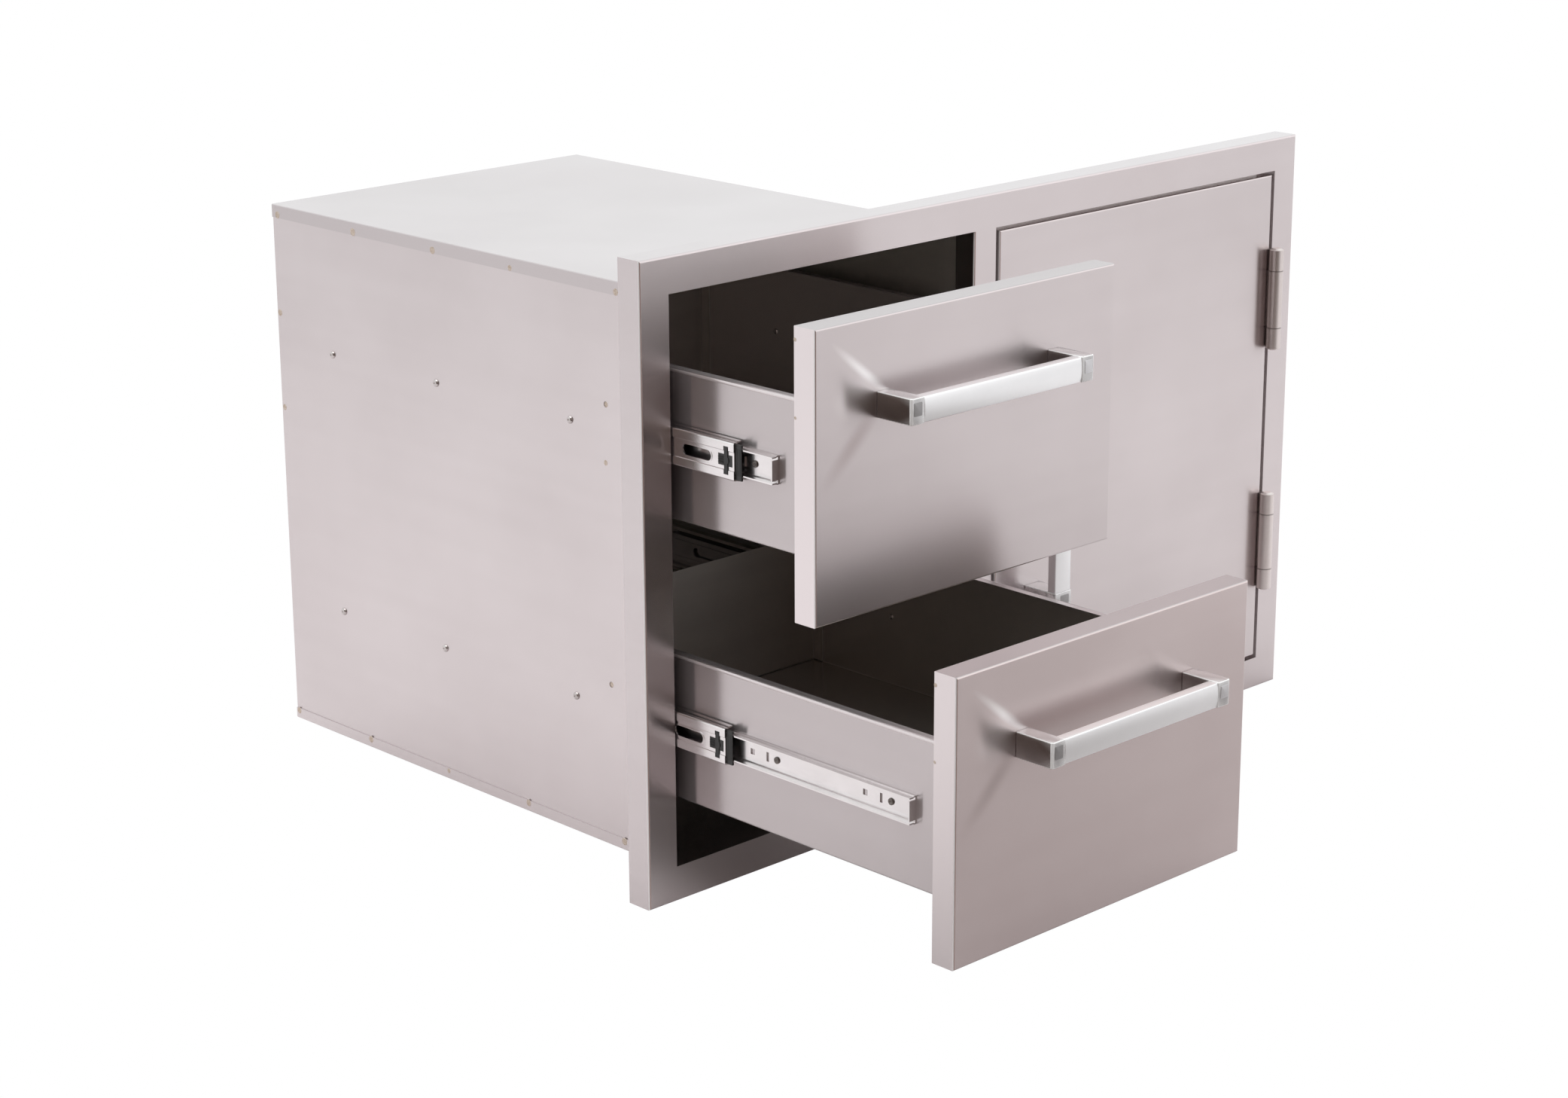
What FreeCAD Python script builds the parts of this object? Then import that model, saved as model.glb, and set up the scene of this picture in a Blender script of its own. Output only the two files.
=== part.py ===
import FreeCAD, Part

# Outdoor kitchen drawer unit: a stainless face frame with two drawers on
# three-part ball-bearing slides beside a door on exposed hinges.
# The flange's back face lies in the plane Y = 0, the front looks along -Y
# and Z is up. All sizes are in millimetres.

import math
import os

os.makedirs("parts", exist_ok=True)

V = FreeCAD.Vector

# Face frame
FRAME_W = 838.2
FRAME_H = 550.0
FRAME_DEPTH = 25.4
FRAME_SHEET = 1.2
FRAME_EDGE_R = 2.0
RAIL_W = 31.0
SEAT_LIP_W = 12.0
RETURN_DEPTH = 22.0
MULLION_W = 29.0
DRAWER_OPENING_W = 356.6

# Enclosure behind the drawers
BOX_BACK_ROOM = 32.4
BOX_SHEET = 1.0
TOP_LIP_H = 12.0
BOTTOM_LIP_H = 10.0
BACK_FLANGE = 12.0
MOUNT_HOLE_D = 5.0
MOUNT_HOLE_BACK = 51.0
MOUNT_HOLE_RISE = 21.1
MOUNT_HOLE_RIGHT_PITCH = 120.0

# Drawer fronts and door, all of the same folded panel
GAP = 3.5
PANEL_T = 23.0
PANEL_SHEET = 1.2
PANEL_EDGE_R = 1.6
LINER_SHEET = 1.0
LINER_FLANGE = 12.0

# Drawer boxes
SIDE_H = 127.0
SIDE_RISE = 52.0
TRAY_OVERHANG = 27.0
TRAY_SHEET = 1.0
TRAY_BEND_R = 1.0
HEM_W = 8.0
TRAY_BACK_FLANGE = 12.0
UPPER_OPEN = 162.0
LOWER_OPEN = 313.0

# Slides: heights of the three nested members, from the wall to the drawer
SLIDE_L = 450.0
SLIDE_SET_BACK = 48.5
SLIDE_RISE = 2.4
SLIDE_T = 12.7
CAB_MEMBER_H = 45.0
MID_MEMBER_H = 33.0
DRAWER_MEMBER_H = 23.7
MEMBER_SHEET = 1.15
MEMBER_BEND_R = 0.5
CAB_MEMBER_DEPTH = 11.0
MID_WEB_AT = 2.4
MID_LIP_PLAY = 0.4
MID_BAND_W = 7.7
MID_RECESS = 0.6
GROOVE_END = 0.55
GROOVE_RISE_END = 0.75
DRAWER_LIP_AT = 5.2
RACE_DEPTH = 0.7
UPPER_MID_OPEN = 121.1
LOWER_MID_OPEN = 107.5

# Ball retainers: two rows, and a clip that looks out in front
CAGE_L = 230.0
CAGE_PLAY = 0.3
CAGE_SEAT = 0.1
CAGE_ROW_W = 1.8
CAGE_NOSE = 7.0

# Punchings of the slides: latch cross, access slots, screw slots and squares
CROSS_SET_BACK = 2.0
CROSS_L = 16.5
CROSS_ARM_H = 9.5
CROSS_BAR_AT = 9.0
CROSS_BAR_W = 5.5
CROSS_BAR_H = 23.0
ACCESS_SET_BACK = 26.5
ACCESS_L = 34.0
ACCESS_H = 9.0
SLOT_PITCH = 128.0
SLOT_SET_BACK = 35.0
SLOT_END_MARGIN = 30.0
SLOT_W = 3.0
SLOT_H = 8.0
SQUARE_AT = 16.5
SQUARE_SIDE = 5.0
END_TAB_H = 16.7

# Handles
HANDLE_L = 215.0
HANDLE_STANDOFF = 38.0
HANDLE_H = 21.5
POST_W = 15.0
POST_EDGE_R = 2.5
GRIP_T = 11.0
GRIP_CROWN = 2.0
GRIP_STEP = 0.4
HANDLE_RISE = 168.5
DOOR_HANDLE_IN = 51.0

# Hinges
BARREL_D = 14.0
BARREL_OFF = 0.3
HINGE_H = 96.0
END_KNUCKLE_H = 20.0
KNUCKLE_PLAY = 0.3
LEAF_PLAY = 0.5
LEAF_REACH = 20.0
PIN_D = 5.0
PIN_PLAY = 0.05
PIN_HEAD_T = 1.6
PIN_HEAD_SET = 0.5
HINGE_IN = 123.0

# Magnet catch
CATCH_DROP = 74.0
CATCH_H = 46.0
CATCH_W = 15.0
CATCH_DEPTH = 18.0
CATCH_TAB_H = 56.0
CATCH_WALL = 3.0
MAGNET_H = 24.0
MAGNET_DEPTH = 8.0
MAGNET_PROUD = 0.4
STRIKER_W = 14.0
STRIKER_T = 1.2
STRIKER_GAP = 0.3

# Places worked out from the sizes above
Y_FACE = -FRAME_DEPTH
Y_RETURN = Y_FACE + RETURN_DEPTH
Y_PANEL = Y_FACE + PANEL_T
TRAY_L = SLIDE_L + TRAY_OVERHANG
Y_BACK = Y_PANEL + TRAY_L + BOX_BACK_ROOM
OPEN_Z0 = -FRAME_H / 2 + RAIL_W
OPEN_Z1 = FRAME_H / 2 - RAIL_W
DRAWER_X0 = -FRAME_W / 2 + RAIL_W
DRAWER_X1 = DRAWER_X0 + DRAWER_OPENING_W
DOOR_X0 = DRAWER_X1 + MULLION_W
DOOR_X1 = FRAME_W / 2 - RAIL_W
WALL_X0 = DRAWER_X0 - FRAME_SHEET
WALL_X1 = DRAWER_X1 + FRAME_SHEET
WALL_Z0 = OPEN_Z0 - FRAME_SHEET
WALL_Z1 = OPEN_Z1 + FRAME_SHEET
FRONT_H = (OPEN_Z1 - OPEN_Z0 - 3 * GAP) / 2
FRONT_X0 = DRAWER_X0 + GAP
FRONT_X1 = DRAWER_X1 - GAP
DOOR_PANEL_X0 = DOOR_X0 + GAP
DOOR_PANEL_X1 = DOOR_X1 - GAP
TRAY_X0 = WALL_X0 + SLIDE_T
TRAY_X1 = WALL_X1 - SLIDE_T
SLIDE_Y = Y_FACE + SLIDE_SET_BACK
AXIS_X = DOOR_X1 - GAP / 2
AXIS_Y = Y_FACE - BARREL_D / 2 - BARREL_OFF
CATCH_Z = OPEN_Z1 - CATCH_DROP


def box(x0, x1, y0, y1, z0, z1):
    """Return a block between two corners."""
    return Part.makeBox(x1 - x0, y1 - y0, z1 - z0, V(x0, y0, z0))


def rod(radius, start, direction, length):
    """Return a cylinder that starts at a point and runs along a direction."""
    return Part.makeCylinder(radius, length, start, direction)


def fuse(solids):
    """Join solids of one piece and merge the faces that lie in line."""
    first, *others = solids
    return first.multiFuse(others).removeSplitter() if others else first


def cut(solid, tools):
    """Cut a list of shapes out of a solid."""
    return solid.cut(Part.makeCompound(tools))


def offset_points(path, distance):
    """Shift an open path to its left by a distance, with mitred corners."""
    normals = []
    for (x0, z0), (x1, z1) in zip(path, path[1:]):
        length = math.hypot(x1 - x0, z1 - z0)
        normals.append(((z0 - z1) / length, (x1 - x0) / length))
    shifted = []
    for i, (x, z) in enumerate(path):
        before = normals[max(i - 1, 0)]
        after = normals[min(i, len(normals) - 1)]
        share = distance / (1 + before[0] * after[0] + before[1] * after[1])
        shifted.append((x + share * (before[0] + after[0]), z + share * (before[1] + after[1])))
    return shifted


def rounded_wire(points, radii, place):
    """Return a closed wire through points, each corner rounded by its radius."""
    count = len(points)
    rounded = []
    for i, (x, z) in enumerate(points):
        back = (points[i - 1][0] - x, points[i - 1][1] - z)
        ahead = (points[(i + 1) % count][0] - x, points[(i + 1) % count][1] - z)
        back_l, ahead_l = math.hypot(*back), math.hypot(*ahead)
        cosine = (back[0] * ahead[0] + back[1] * ahead[1]) / (back_l * ahead_l)
        half = math.acos(max(-1.0, min(1.0, cosine))) / 2
        if radii[i] <= 0 or half > 1.55:
            rounded.append([(x, z)])
            continue
        trim = min(radii[i] / math.tan(half), 0.45 * back_l, 0.45 * ahead_l)
        radius = trim * math.tan(half)
        start = (x + back[0] * trim / back_l, z + back[1] * trim / back_l)
        end = (x + ahead[0] * trim / ahead_l, z + ahead[1] * trim / ahead_l)
        mid = ((start[0] + end[0]) / 2 - x, (start[1] + end[1]) / 2 - z)
        reach = (radius / math.sin(half) - radius) / math.hypot(*mid)
        rounded.append([start, (x + mid[0] * reach, z + mid[1] * reach), end])
    edges = []
    for i, corner in enumerate(rounded):
        if len(corner) == 3:
            edges.append(Part.Arc(*[place(*p) for p in corner]).toShape())
        start, end = corner[-1], rounded[(i + 1) % count][0]
        if math.dist(start, end) > 1e-6:
            edges.append(Part.makeLine(place(*start), place(*end)))
    return Part.Wire(edges)


def sheet(path, thickness, bend_r, place, along):
    """Fold sheet metal along an open path and run it along a direction.

    The path is one surface of the sheet, with the metal on its right. Bends
    of a right angle are rounded; the shallow slopes of a ball race are not.
    """
    outline = path + offset_points(path, -thickness)[::-1]
    near, far = [0.0], [0.0]
    for (x0, z0), (x1, z1), (x2, z2) in zip(path, path[1:], path[2:]):
        turn = (x1 - x0) * (z2 - z1) - (z1 - z0) * (x2 - x1)
        ahead = (x1 - x0) * (x2 - x1) + (z1 - z0) * (z2 - z1)
        outer, inner = (0.0, 0.0) if ahead > 1e-6 else (bend_r + thickness, bend_r)
        near.append(outer if turn < 0 else inner)
        far.append(inner if turn < 0 else outer)
    radii = near + [0.0, 0.0] + far[:0:-1] + [0.0]
    return Part.Face(rounded_wire(outline, radii, place)).extrude(along)


def save(name, shape):
    """Write one sub-part, a solid or a group of solids."""
    shape.exportStep(f"parts/{name}.step")


# Face frame and mullion
def make_face_frame():
    """Return the folded frame: front, outer return, seat lip and inner returns."""
    half_w, half_h = FRAME_W / 2, FRAME_H / 2
    t = FRAME_SHEET
    block = box(-half_w, half_w, Y_FACE, 0, -half_h, half_h)
    front = [e for e in block.Edges if all(abs(v.Y - Y_FACE) < 1e-6 for v in e.Vertexes)]
    ring = cut(block.makeFillet(FRAME_EDGE_R, front), [
        box(DRAWER_X0, DOOR_X1, Y_FACE - 1, 1, OPEN_Z0, OPEN_Z1),
    ])
    channel = cut(box(-half_w + t, half_w - t, Y_FACE + t, -t, -half_h + t, half_h - t), [
        box(WALL_X0, DOOR_X1 + t, Y_FACE, 0, WALL_Z0, WALL_Z1),
    ])
    lip = SEAT_LIP_W
    behind = box(-half_w + lip, half_w - lip, -t - 1, 1, -half_h + lip, half_h - lip)
    trim = box(WALL_X0 - 1, DOOR_X1 + t + 1, Y_RETURN, 1, WALL_Z0 - 1, WALL_Z1 + 1)
    holes = [
        rod(MOUNT_HOLE_D / 2, V(DOOR_X1 - 1, Y_FACE + RETURN_DEPTH / 2, z), V(1, 0, 0), t + 2)
        for z in (-MOUNT_HOLE_RIGHT_PITCH / 2, MOUNT_HOLE_RIGHT_PITCH / 2)
    ]
    return cut(ring, [channel, behind, trim] + holes).removeSplitter()


def make_mullion():
    """Return the upright channel between the drawers and the door."""
    path = [
        (DOOR_X0, Y_RETURN),
        (DOOR_X0, Y_FACE),
        (DRAWER_X1, Y_FACE),
        (DRAWER_X1, Y_RETURN),
    ]
    up = V(0, 0, OPEN_Z1 - OPEN_Z0)
    return sheet(path, FRAME_SHEET, FRAME_EDGE_R - FRAME_SHEET, lambda x, y: V(x, y, OPEN_Z0), up)


# Enclosure
def make_side(inner_x, outward):
    """Return one side wall; outward is -1 on the left and 1 on the right."""
    outer_x = inner_x + outward * BOX_SHEET
    x0, x1 = min(inner_x, outer_x), max(inner_x, outer_x)
    wall = box(x0, x1, Y_FACE + FRAME_EDGE_R, Y_BACK, WALL_Z0, WALL_Z1)
    tools = []
    if outward > 0:
        tools.append(box(x0 - 1, x1 + 1, Y_FACE, Y_RETURN, WALL_Z0 - 1, OPEN_Z0))
        tools.append(box(x0 - 1, x1 + 1, Y_FACE, Y_RETURN, OPEN_Z1, WALL_Z1 + 1))
    else:
        for bottom in front_bottoms():
            z = slide_centre(bottom) + MOUNT_HOLE_RISE
            tools.append(rod(MOUNT_HOLE_D / 2, V(x0 - 1, MOUNT_HOLE_BACK, z), V(1, 0, 0), BOX_SHEET + 2))
    return cut(wall, tools)


def make_cover(top):
    """Return the top or bottom panel, whose lips lap over the side walls."""
    lip_h = TOP_LIP_H if top else BOTTOM_LIP_H
    x0, x1 = WALL_X0 - 2 * BOX_SHEET, WALL_X1 + 2 * BOX_SHEET
    sign = 1 if top else -1
    z_in = WALL_Z1 if top else WALL_Z0
    z_out = z_in + sign * BOX_SHEET
    path = [(x0, z_out - sign * lip_h), (x0, z_out), (x1, z_out), (x1, z_out - sign * lip_h)]
    if not top:
        path.reverse()
    folded = sheet(path, BOX_SHEET, 0.0, lambda x, z: V(x, 0, z), V(0, Y_BACK, 0))
    flat = box(
        WALL_X0 - BOX_SHEET, WALL_X1 + BOX_SHEET, Y_FACE + FRAME_EDGE_R, BOX_SHEET,
        min(z_in, z_out), max(z_in, z_out),
    )
    return fuse([folded, flat])


def make_back():
    """Return the back panel with its flanges turned forward inside the walls."""
    pan = box(WALL_X0, WALL_X1, Y_BACK - BACK_FLANGE, Y_BACK, WALL_Z0, WALL_Z1)
    t = BOX_SHEET
    hollow = box(
        WALL_X0 + t, WALL_X1 - t, Y_BACK - BACK_FLANGE - 1, Y_BACK - t, WALL_Z0 + t, WALL_Z1 - t
    )
    return pan.cut(hollow)


def front_bottoms():
    """Return the heights of the lower and the upper drawer front's bottom edges."""
    return OPEN_Z0 + GAP, OPEN_Z0 + 2 * GAP + FRONT_H


def slide_centre(front_bottom):
    """Return the height of a drawer's slides, just above the middle of its side walls."""
    return front_bottom + SIDE_RISE + SIDE_H / 2 + SLIDE_RISE


# Slides
def member(outline, front_y, z, mirrored, holes=(), tabs=()):
    """Run one slide member along Y, add its tabs and cut its holes.

    The outline lists distances from the enclosure wall and heights; tabs
    and holes are shapes in those same coordinates, before it is placed.
    """
    metal = sheet(outline, MEMBER_SHEET, MEMBER_BEND_R, lambda a, h: V(a, 0, h), V(0, SLIDE_L, 0))
    metal = fuse([metal, *tabs])
    metal = cut(metal, holes) if holes else metal
    return place_on_wall(metal, front_y, z, mirrored)


def place_on_wall(shape, front_y, z, mirrored):
    """Move a shape from slide coordinates to the left or the right wall."""
    if mirrored:
        shape = shape.mirror(V(0, 0, 0), V(1, 0, 0))
    wall = WALL_X1 if mirrored else WALL_X0
    moved = shape.copy()
    moved.translate(V(wall, front_y, z))
    return moved


def cabinet_outline():
    """Return the outer surface of the member on the wall, with its ball races."""
    half, lip = CAB_MEMBER_H / 2, CAB_MEMBER_DEPTH
    slope = 3 * RACE_DEPTH
    upper = [(0, half - slope), (slope, half), (lip - slope, half), (lip, half - slope)]
    return [(a, -h) for a, h in upper[::-1]] + upper


def mid_outline():
    """Return the outer surface of the middle member.

    Its web is set in between two bands, and its lips step for both ball rows.
    """
    half, web, lip = MID_MEMBER_H / 2, MID_WEB_AT, SLIDE_T - MEMBER_SHEET - MID_LIP_PLAY
    step = web + (lip - web) / 2
    band = half - RACE_DEPTH - MID_BAND_W
    upper = [
        (web + MID_RECESS, band - MID_RECESS),
        (web, band),
        (web, half - RACE_DEPTH),
        (step - RACE_DEPTH, half - RACE_DEPTH),
        (step + RACE_DEPTH, half),
        (lip, half),
    ]
    return [(a, -h) for a, h in upper[::-1]] + upper


def drawer_outline():
    """Return the outer surface of the member on the drawer, grooved for its balls."""
    half, lip, web = DRAWER_MEMBER_H / 2, DRAWER_LIP_AT, SLIDE_T
    groove = half - RACE_DEPTH
    width = web - lip
    upper = [
        (lip, groove),
        (lip + GROOVE_END * width, groove),
        (lip + GROOVE_RISE_END * width, half),
        (web, half),
    ]
    return upper + [(a, -h) for a, h in upper[::-1]]


def punch(web, y, length, height):
    """Return a cutter for a square-cornered hole through a web, level with its middle."""
    return box(web - 1, web + 2 * MEMBER_SHEET, y, y + length, -height / 2, height / 2)


def slot(web, y, length, height):
    """Return a cutter for an oblong hole with round ends, long along Y."""
    radius = height / 2
    ends = [
        rod(radius, V(web - 1, at, 0), V(1, 0, 0), 1 + 2 * MEMBER_SHEET)
        for at in (y + radius, y + length - radius)
    ]
    return fuse([punch(web, y + radius, length - height, height)] + ends)


def make_cabinet_member(z, mirrored):
    """Return the slide member fixed to the enclosure wall."""
    return member(cabinet_outline(), SLIDE_Y, z, mirrored)


def make_mid_member(z, opened, mirrored):
    """Return the middle member, with its latch cross and access slot in front."""
    web = MID_WEB_AT + MID_RECESS
    holes = [
        punch(web, CROSS_SET_BACK, CROSS_L, CROSS_ARM_H),
        punch(web, CROSS_BAR_AT - CROSS_BAR_W / 2, CROSS_BAR_W, CROSS_BAR_H),
        slot(web, ACCESS_SET_BACK, ACCESS_L, ACCESS_H),
        slot(web, SLIDE_L - ACCESS_SET_BACK - ACCESS_L, ACCESS_L, ACCESS_H),
    ]
    return member(mid_outline(), SLIDE_Y - opened, z, mirrored, holes)


def make_drawer_member(z, opened, mirrored):
    """Return the member screwed to the drawer's side.

    It is punched at one pitch, and a tab at its front end is bent outward.
    """
    web = SLIDE_T - MEMBER_SHEET
    holes = []
    start = SLOT_SET_BACK
    while start < SLIDE_L - SLOT_END_MARGIN:
        holes.append(punch(web, start, SLOT_W, SLOT_H))
        holes.append(punch(web, start + SQUARE_AT, SQUARE_SIDE, SQUARE_SIDE))
        start += SLOT_PITCH
    tab = box(DRAWER_LIP_AT, SLIDE_T, 0, MEMBER_SHEET, -END_TAB_H / 2, END_TAB_H / 2)
    return member(drawer_outline(), SLIDE_Y - opened, z, mirrored, holes, [tab])


def make_ball_cages(z, opened):
    """Return the ball retainers of both slides of one drawer."""
    web_in = MID_WEB_AT + MEMBER_SHEET
    race_out = MID_MEMBER_H / 2 - RACE_DEPTH
    race_in = race_out - MEMBER_SHEET
    cab_in = CAB_MEMBER_H / 2 - MEMBER_SHEET
    drawer_out = DRAWER_MEMBER_H / 2
    start = (SLIDE_L - CAGE_L) / 2
    arm_x0 = web_in + MEMBER_BEND_R + CAGE_SEAT
    arm_x1 = arm_x0 + CAGE_ROW_W
    cages = []
    for mirrored in (False, True):
        for sign in (1, -1):
            low, high = sorted((sign * race_out, sign * (cab_in - CAGE_PLAY)))
            row = box(web_in + CAGE_PLAY, arm_x1, start, start + CAGE_L, low, high)
            cages.append(place_on_wall(row, SLIDE_Y - opened, z, mirrored))
        clip = fuse([
            box(arm_x0, arm_x1, -CAGE_NOSE, CAGE_L, drawer_out + CAGE_PLAY, race_in),
            box(arm_x0, arm_x1, -CAGE_NOSE, CAGE_L, -race_in, -drawer_out - CAGE_PLAY),
            box(arm_x0, DRAWER_LIP_AT - CAGE_PLAY, -CAGE_NOSE, 0, -race_in, race_in),
        ])
        cages.append(place_on_wall(clip, SLIDE_Y - opened, z, mirrored))
    return Part.makeCompound(cages)


# Panels of the drawer fronts and the door
def make_skin(x0, x1, z0, z1, y_front):
    """Return a front skin: a pan with rounded front edges, open at the back."""
    y_back = y_front + PANEL_T
    t = PANEL_SHEET
    block = box(x0, x1, y_front, y_back, z0, z1)
    front = [e for e in block.Edges if all(abs(v.Y - y_front) < 1e-6 for v in e.Vertexes)]
    hollow = box(x0 + t, x1 - t, y_front + t, y_back + 1, z0 + t, z1 - t)
    return block.makeFillet(PANEL_EDGE_R, front).cut(hollow)


def make_liner(x0, x1, z0, z1, y_front):
    """Return the inner panel that closes a skin, with flanges turned forward."""
    t = PANEL_SHEET
    y_back = y_front + PANEL_T
    block = box(x0 + t, x1 - t, y_back - LINER_FLANGE, y_back, z0 + t, z1 - t)
    s = t + LINER_SHEET
    hollow = box(x0 + s, x1 - s, y_front, y_back - LINER_SHEET, z0 + s, z1 - s)
    return block.cut(hollow)


# Handles, first lying along X about the origin with the panel's face at Y = 0
def make_grip():
    """Return the bar between the end blocks, its front slightly crowned."""
    half_l = HANDLE_L / 2 - POST_W
    half_h = HANDLE_H / 2 - GRIP_STEP
    back, edge = -HANDLE_STANDOFF + GRIP_T, -HANDLE_STANDOFF + GRIP_CROWN + GRIP_STEP
    crown = Part.Arc(
        V(-half_l, edge, half_h), V(-half_l, edge - GRIP_CROWN, 0), V(-half_l, edge, -half_h)
    ).toShape()
    under = Part.Arc(
        V(-half_l, back - GRIP_CROWN, -half_h), V(-half_l, back, 0), V(-half_l, back - GRIP_CROWN, half_h)
    ).toShape()
    sides = [
        Part.makeLine(V(-half_l, edge, -half_h), V(-half_l, back - GRIP_CROWN, -half_h)),
        Part.makeLine(V(-half_l, back - GRIP_CROWN, half_h), V(-half_l, edge, half_h)),
    ]
    outline = Part.Wire(Part.sortEdges([crown, under] + sides)[0])
    return Part.Face(outline).extrude(V(2 * half_l, 0, 0))


def make_post(side):
    """Return one end block; side is -1 at the left end and 1 at the right."""
    outer = side * HANDLE_L / 2
    inner = outer - side * POST_W
    x0, x1 = min(outer, inner), max(outer, inner)
    block = box(x0, x1, -HANDLE_STANDOFF, 0, -HANDLE_H / 2, HANDLE_H / 2)
    rim = []
    for edge in block.Edges:
        mid = edge.CenterOfMass
        if abs(mid.y + HANDLE_STANDOFF) < 1e-6 and abs(mid.x - inner) > 1e-6:
            rim.append(edge)
    return block.makeFillet(POST_EDGE_R, rim)


def place_handle(shape, x, y, z, upright):
    """Set a handle piece on a panel; upright turns it to run along Z."""
    moved = shape.copy()
    if upright:
        moved.rotate(V(0, 0, 0), V(0, 1, 0), -90)
    moved.translate(V(x, y, z))
    return moved


def save_handle(prefix, ends, x, y, z, upright):
    """Write the grip and the two end blocks of one handle."""
    save(f"{prefix}_grip", place_handle(make_grip(), x, y, z, upright))
    for end, side in zip(ends, (-1, 1)):
        save(f"{prefix}_{end}_post", place_handle(make_post(side), x, y, z, upright))


# Drawers
def make_tray(front_bottom, y_front):
    """Return the drawer's bottom, hemmed side walls and front wall."""
    z0 = front_bottom + SIDE_RISE
    z1 = z0 + SIDE_H
    path = [
        (TRAY_X1 - HEM_W, z1),
        (TRAY_X1, z1),
        (TRAY_X1, z0),
        (TRAY_X0, z0),
        (TRAY_X0, z1),
        (TRAY_X0 + HEM_W, z1),
    ]
    y0 = y_front + PANEL_T
    trough = sheet(path, TRAY_SHEET, TRAY_BEND_R, lambda x, z: V(x, y0, z), V(0, TRAY_L, 0))
    t = TRAY_SHEET
    wall = box(TRAY_X0 + t, TRAY_X1 - t, y0, y0 + t, z0 + t + TRAY_BEND_R, z1 - t)
    foot = box(TRAY_X0 + t + TRAY_BEND_R, TRAY_X1 - t - TRAY_BEND_R, y0, y0 + t, z0 + t, z1 - t)
    return fuse([trough, wall, foot])


def make_tray_back(front_bottom, y_front):
    """Return the drawer's rear wall, flanged forward inside the side walls."""
    t = TRAY_SHEET
    z0 = front_bottom + SIDE_RISE + t
    z1 = front_bottom + SIDE_RISE + SIDE_H - t
    y1 = y_front + PANEL_T + TRAY_L
    path = [
        (TRAY_X1 - t, y1 - TRAY_BACK_FLANGE),
        (TRAY_X1 - t, y1),
        (TRAY_X0 + t, y1),
        (TRAY_X0 + t, y1 - TRAY_BACK_FLANGE),
    ]
    z_low, z_high = z0 + TRAY_BEND_R, z1 - TRAY_BEND_R
    path.reverse()
    return sheet(path, t, TRAY_BEND_R, lambda x, y: V(x, y, z_low), V(0, 0, z_high - z_low))


def save_drawer(prefix, front_bottom, opened, mid_opened):
    """Write the sub-parts of one drawer and of its slides."""
    y_front = Y_FACE - opened
    z1 = front_bottom + FRONT_H
    centre_x = (FRONT_X0 + FRONT_X1) / 2
    handle_z = front_bottom + HANDLE_RISE
    save(f"{prefix}_front_skin", make_skin(FRONT_X0, FRONT_X1, front_bottom, z1, y_front))
    save(f"{prefix}_front_liner", make_liner(FRONT_X0, FRONT_X1, front_bottom, z1, y_front))
    save(f"{prefix}_tray", make_tray(front_bottom, y_front))
    save(f"{prefix}_tray_back", make_tray_back(front_bottom, y_front))
    save_handle(prefix, ("left", "right"), centre_x, y_front, handle_z, False)
    z = slide_centre(front_bottom)
    for side, mirrored in (("left", False), ("right", True)):
        save(f"{prefix}_{side}_cabinet_slide", make_cabinet_member(z, mirrored))
        save(f"{prefix}_{side}_mid_slide", make_mid_member(z, mid_opened, mirrored))
        save(f"{prefix}_{side}_drawer_slide", make_drawer_member(z, opened, mirrored))
    save(f"{prefix}_ball_cages", make_ball_cages(z, mid_opened))


# Door and hinges
def knuckle_zones(z):
    """Return the height spans of a hinge's lower, middle and upper knuckle."""
    low, high = z - HINGE_H / 2, z + HINGE_H / 2
    step = END_KNUCKLE_H
    play = KNUCKLE_PLAY
    return (low, low + step), (low + step + play, high - step - play), (high - step, high)


def make_leaf(z, on_frame):
    """Return one hinge leaf with its knuckles round the pin."""
    low, middle, high = knuckle_zones(z)
    own, other = ([low, high], [middle]) if on_frame else ([middle], [low, high])
    x0, x1 = (AXIS_X + LEAF_PLAY / 2, DOOR_X1) if on_frame else (DOOR_PANEL_X1, AXIS_X - LEAF_PLAY / 2)
    plate = box(x0, x1, AXIS_Y, Y_FACE + LEAF_REACH, low[0], high[1])
    gaps = [
        box(x0 - 1, x1 + 1, AXIS_Y - 1, Y_FACE, z0 - KNUCKLE_PLAY, z1 + KNUCKLE_PLAY)
        for z0, z1 in other
    ]
    knuckles = [rod(BARREL_D / 2, V(AXIS_X, AXIS_Y, z0), V(0, 0, 1), z1 - z0) for z0, z1 in own]
    bore = rod(PIN_D / 2 + PIN_PLAY, V(AXIS_X, AXIS_Y, low[0] - 1), V(0, 0, 1), HINGE_H + 2)
    return fuse([cut(plate, gaps)] + knuckles).cut(bore)


def make_hinge_pins():
    """Return both hinge pins, each with a bevelled head at either end."""
    pins = []
    for z in hinge_heights():
        low, _, high = knuckle_zones(z)
        shank = rod(PIN_D / 2, V(AXIS_X, AXIS_Y, low[0]), V(0, 0, 1), HINGE_H)
        heads = []
        for end, direction in ((low[0], -1), (high[1], 1)):
            base, top = BARREL_D / 2 - PIN_HEAD_SET, BARREL_D / 2 - 2 * PIN_HEAD_T
            heads.append(Part.makeCone(base, top, PIN_HEAD_T, V(AXIS_X, AXIS_Y, end), V(0, 0, direction)))
        pins.append(fuse([shank] + heads))
    return Part.makeCompound(pins)


def hinge_heights():
    """Return the heights of the lower and the upper hinge."""
    return OPEN_Z0 + HINGE_IN, OPEN_Z1 - HINGE_IN


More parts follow.
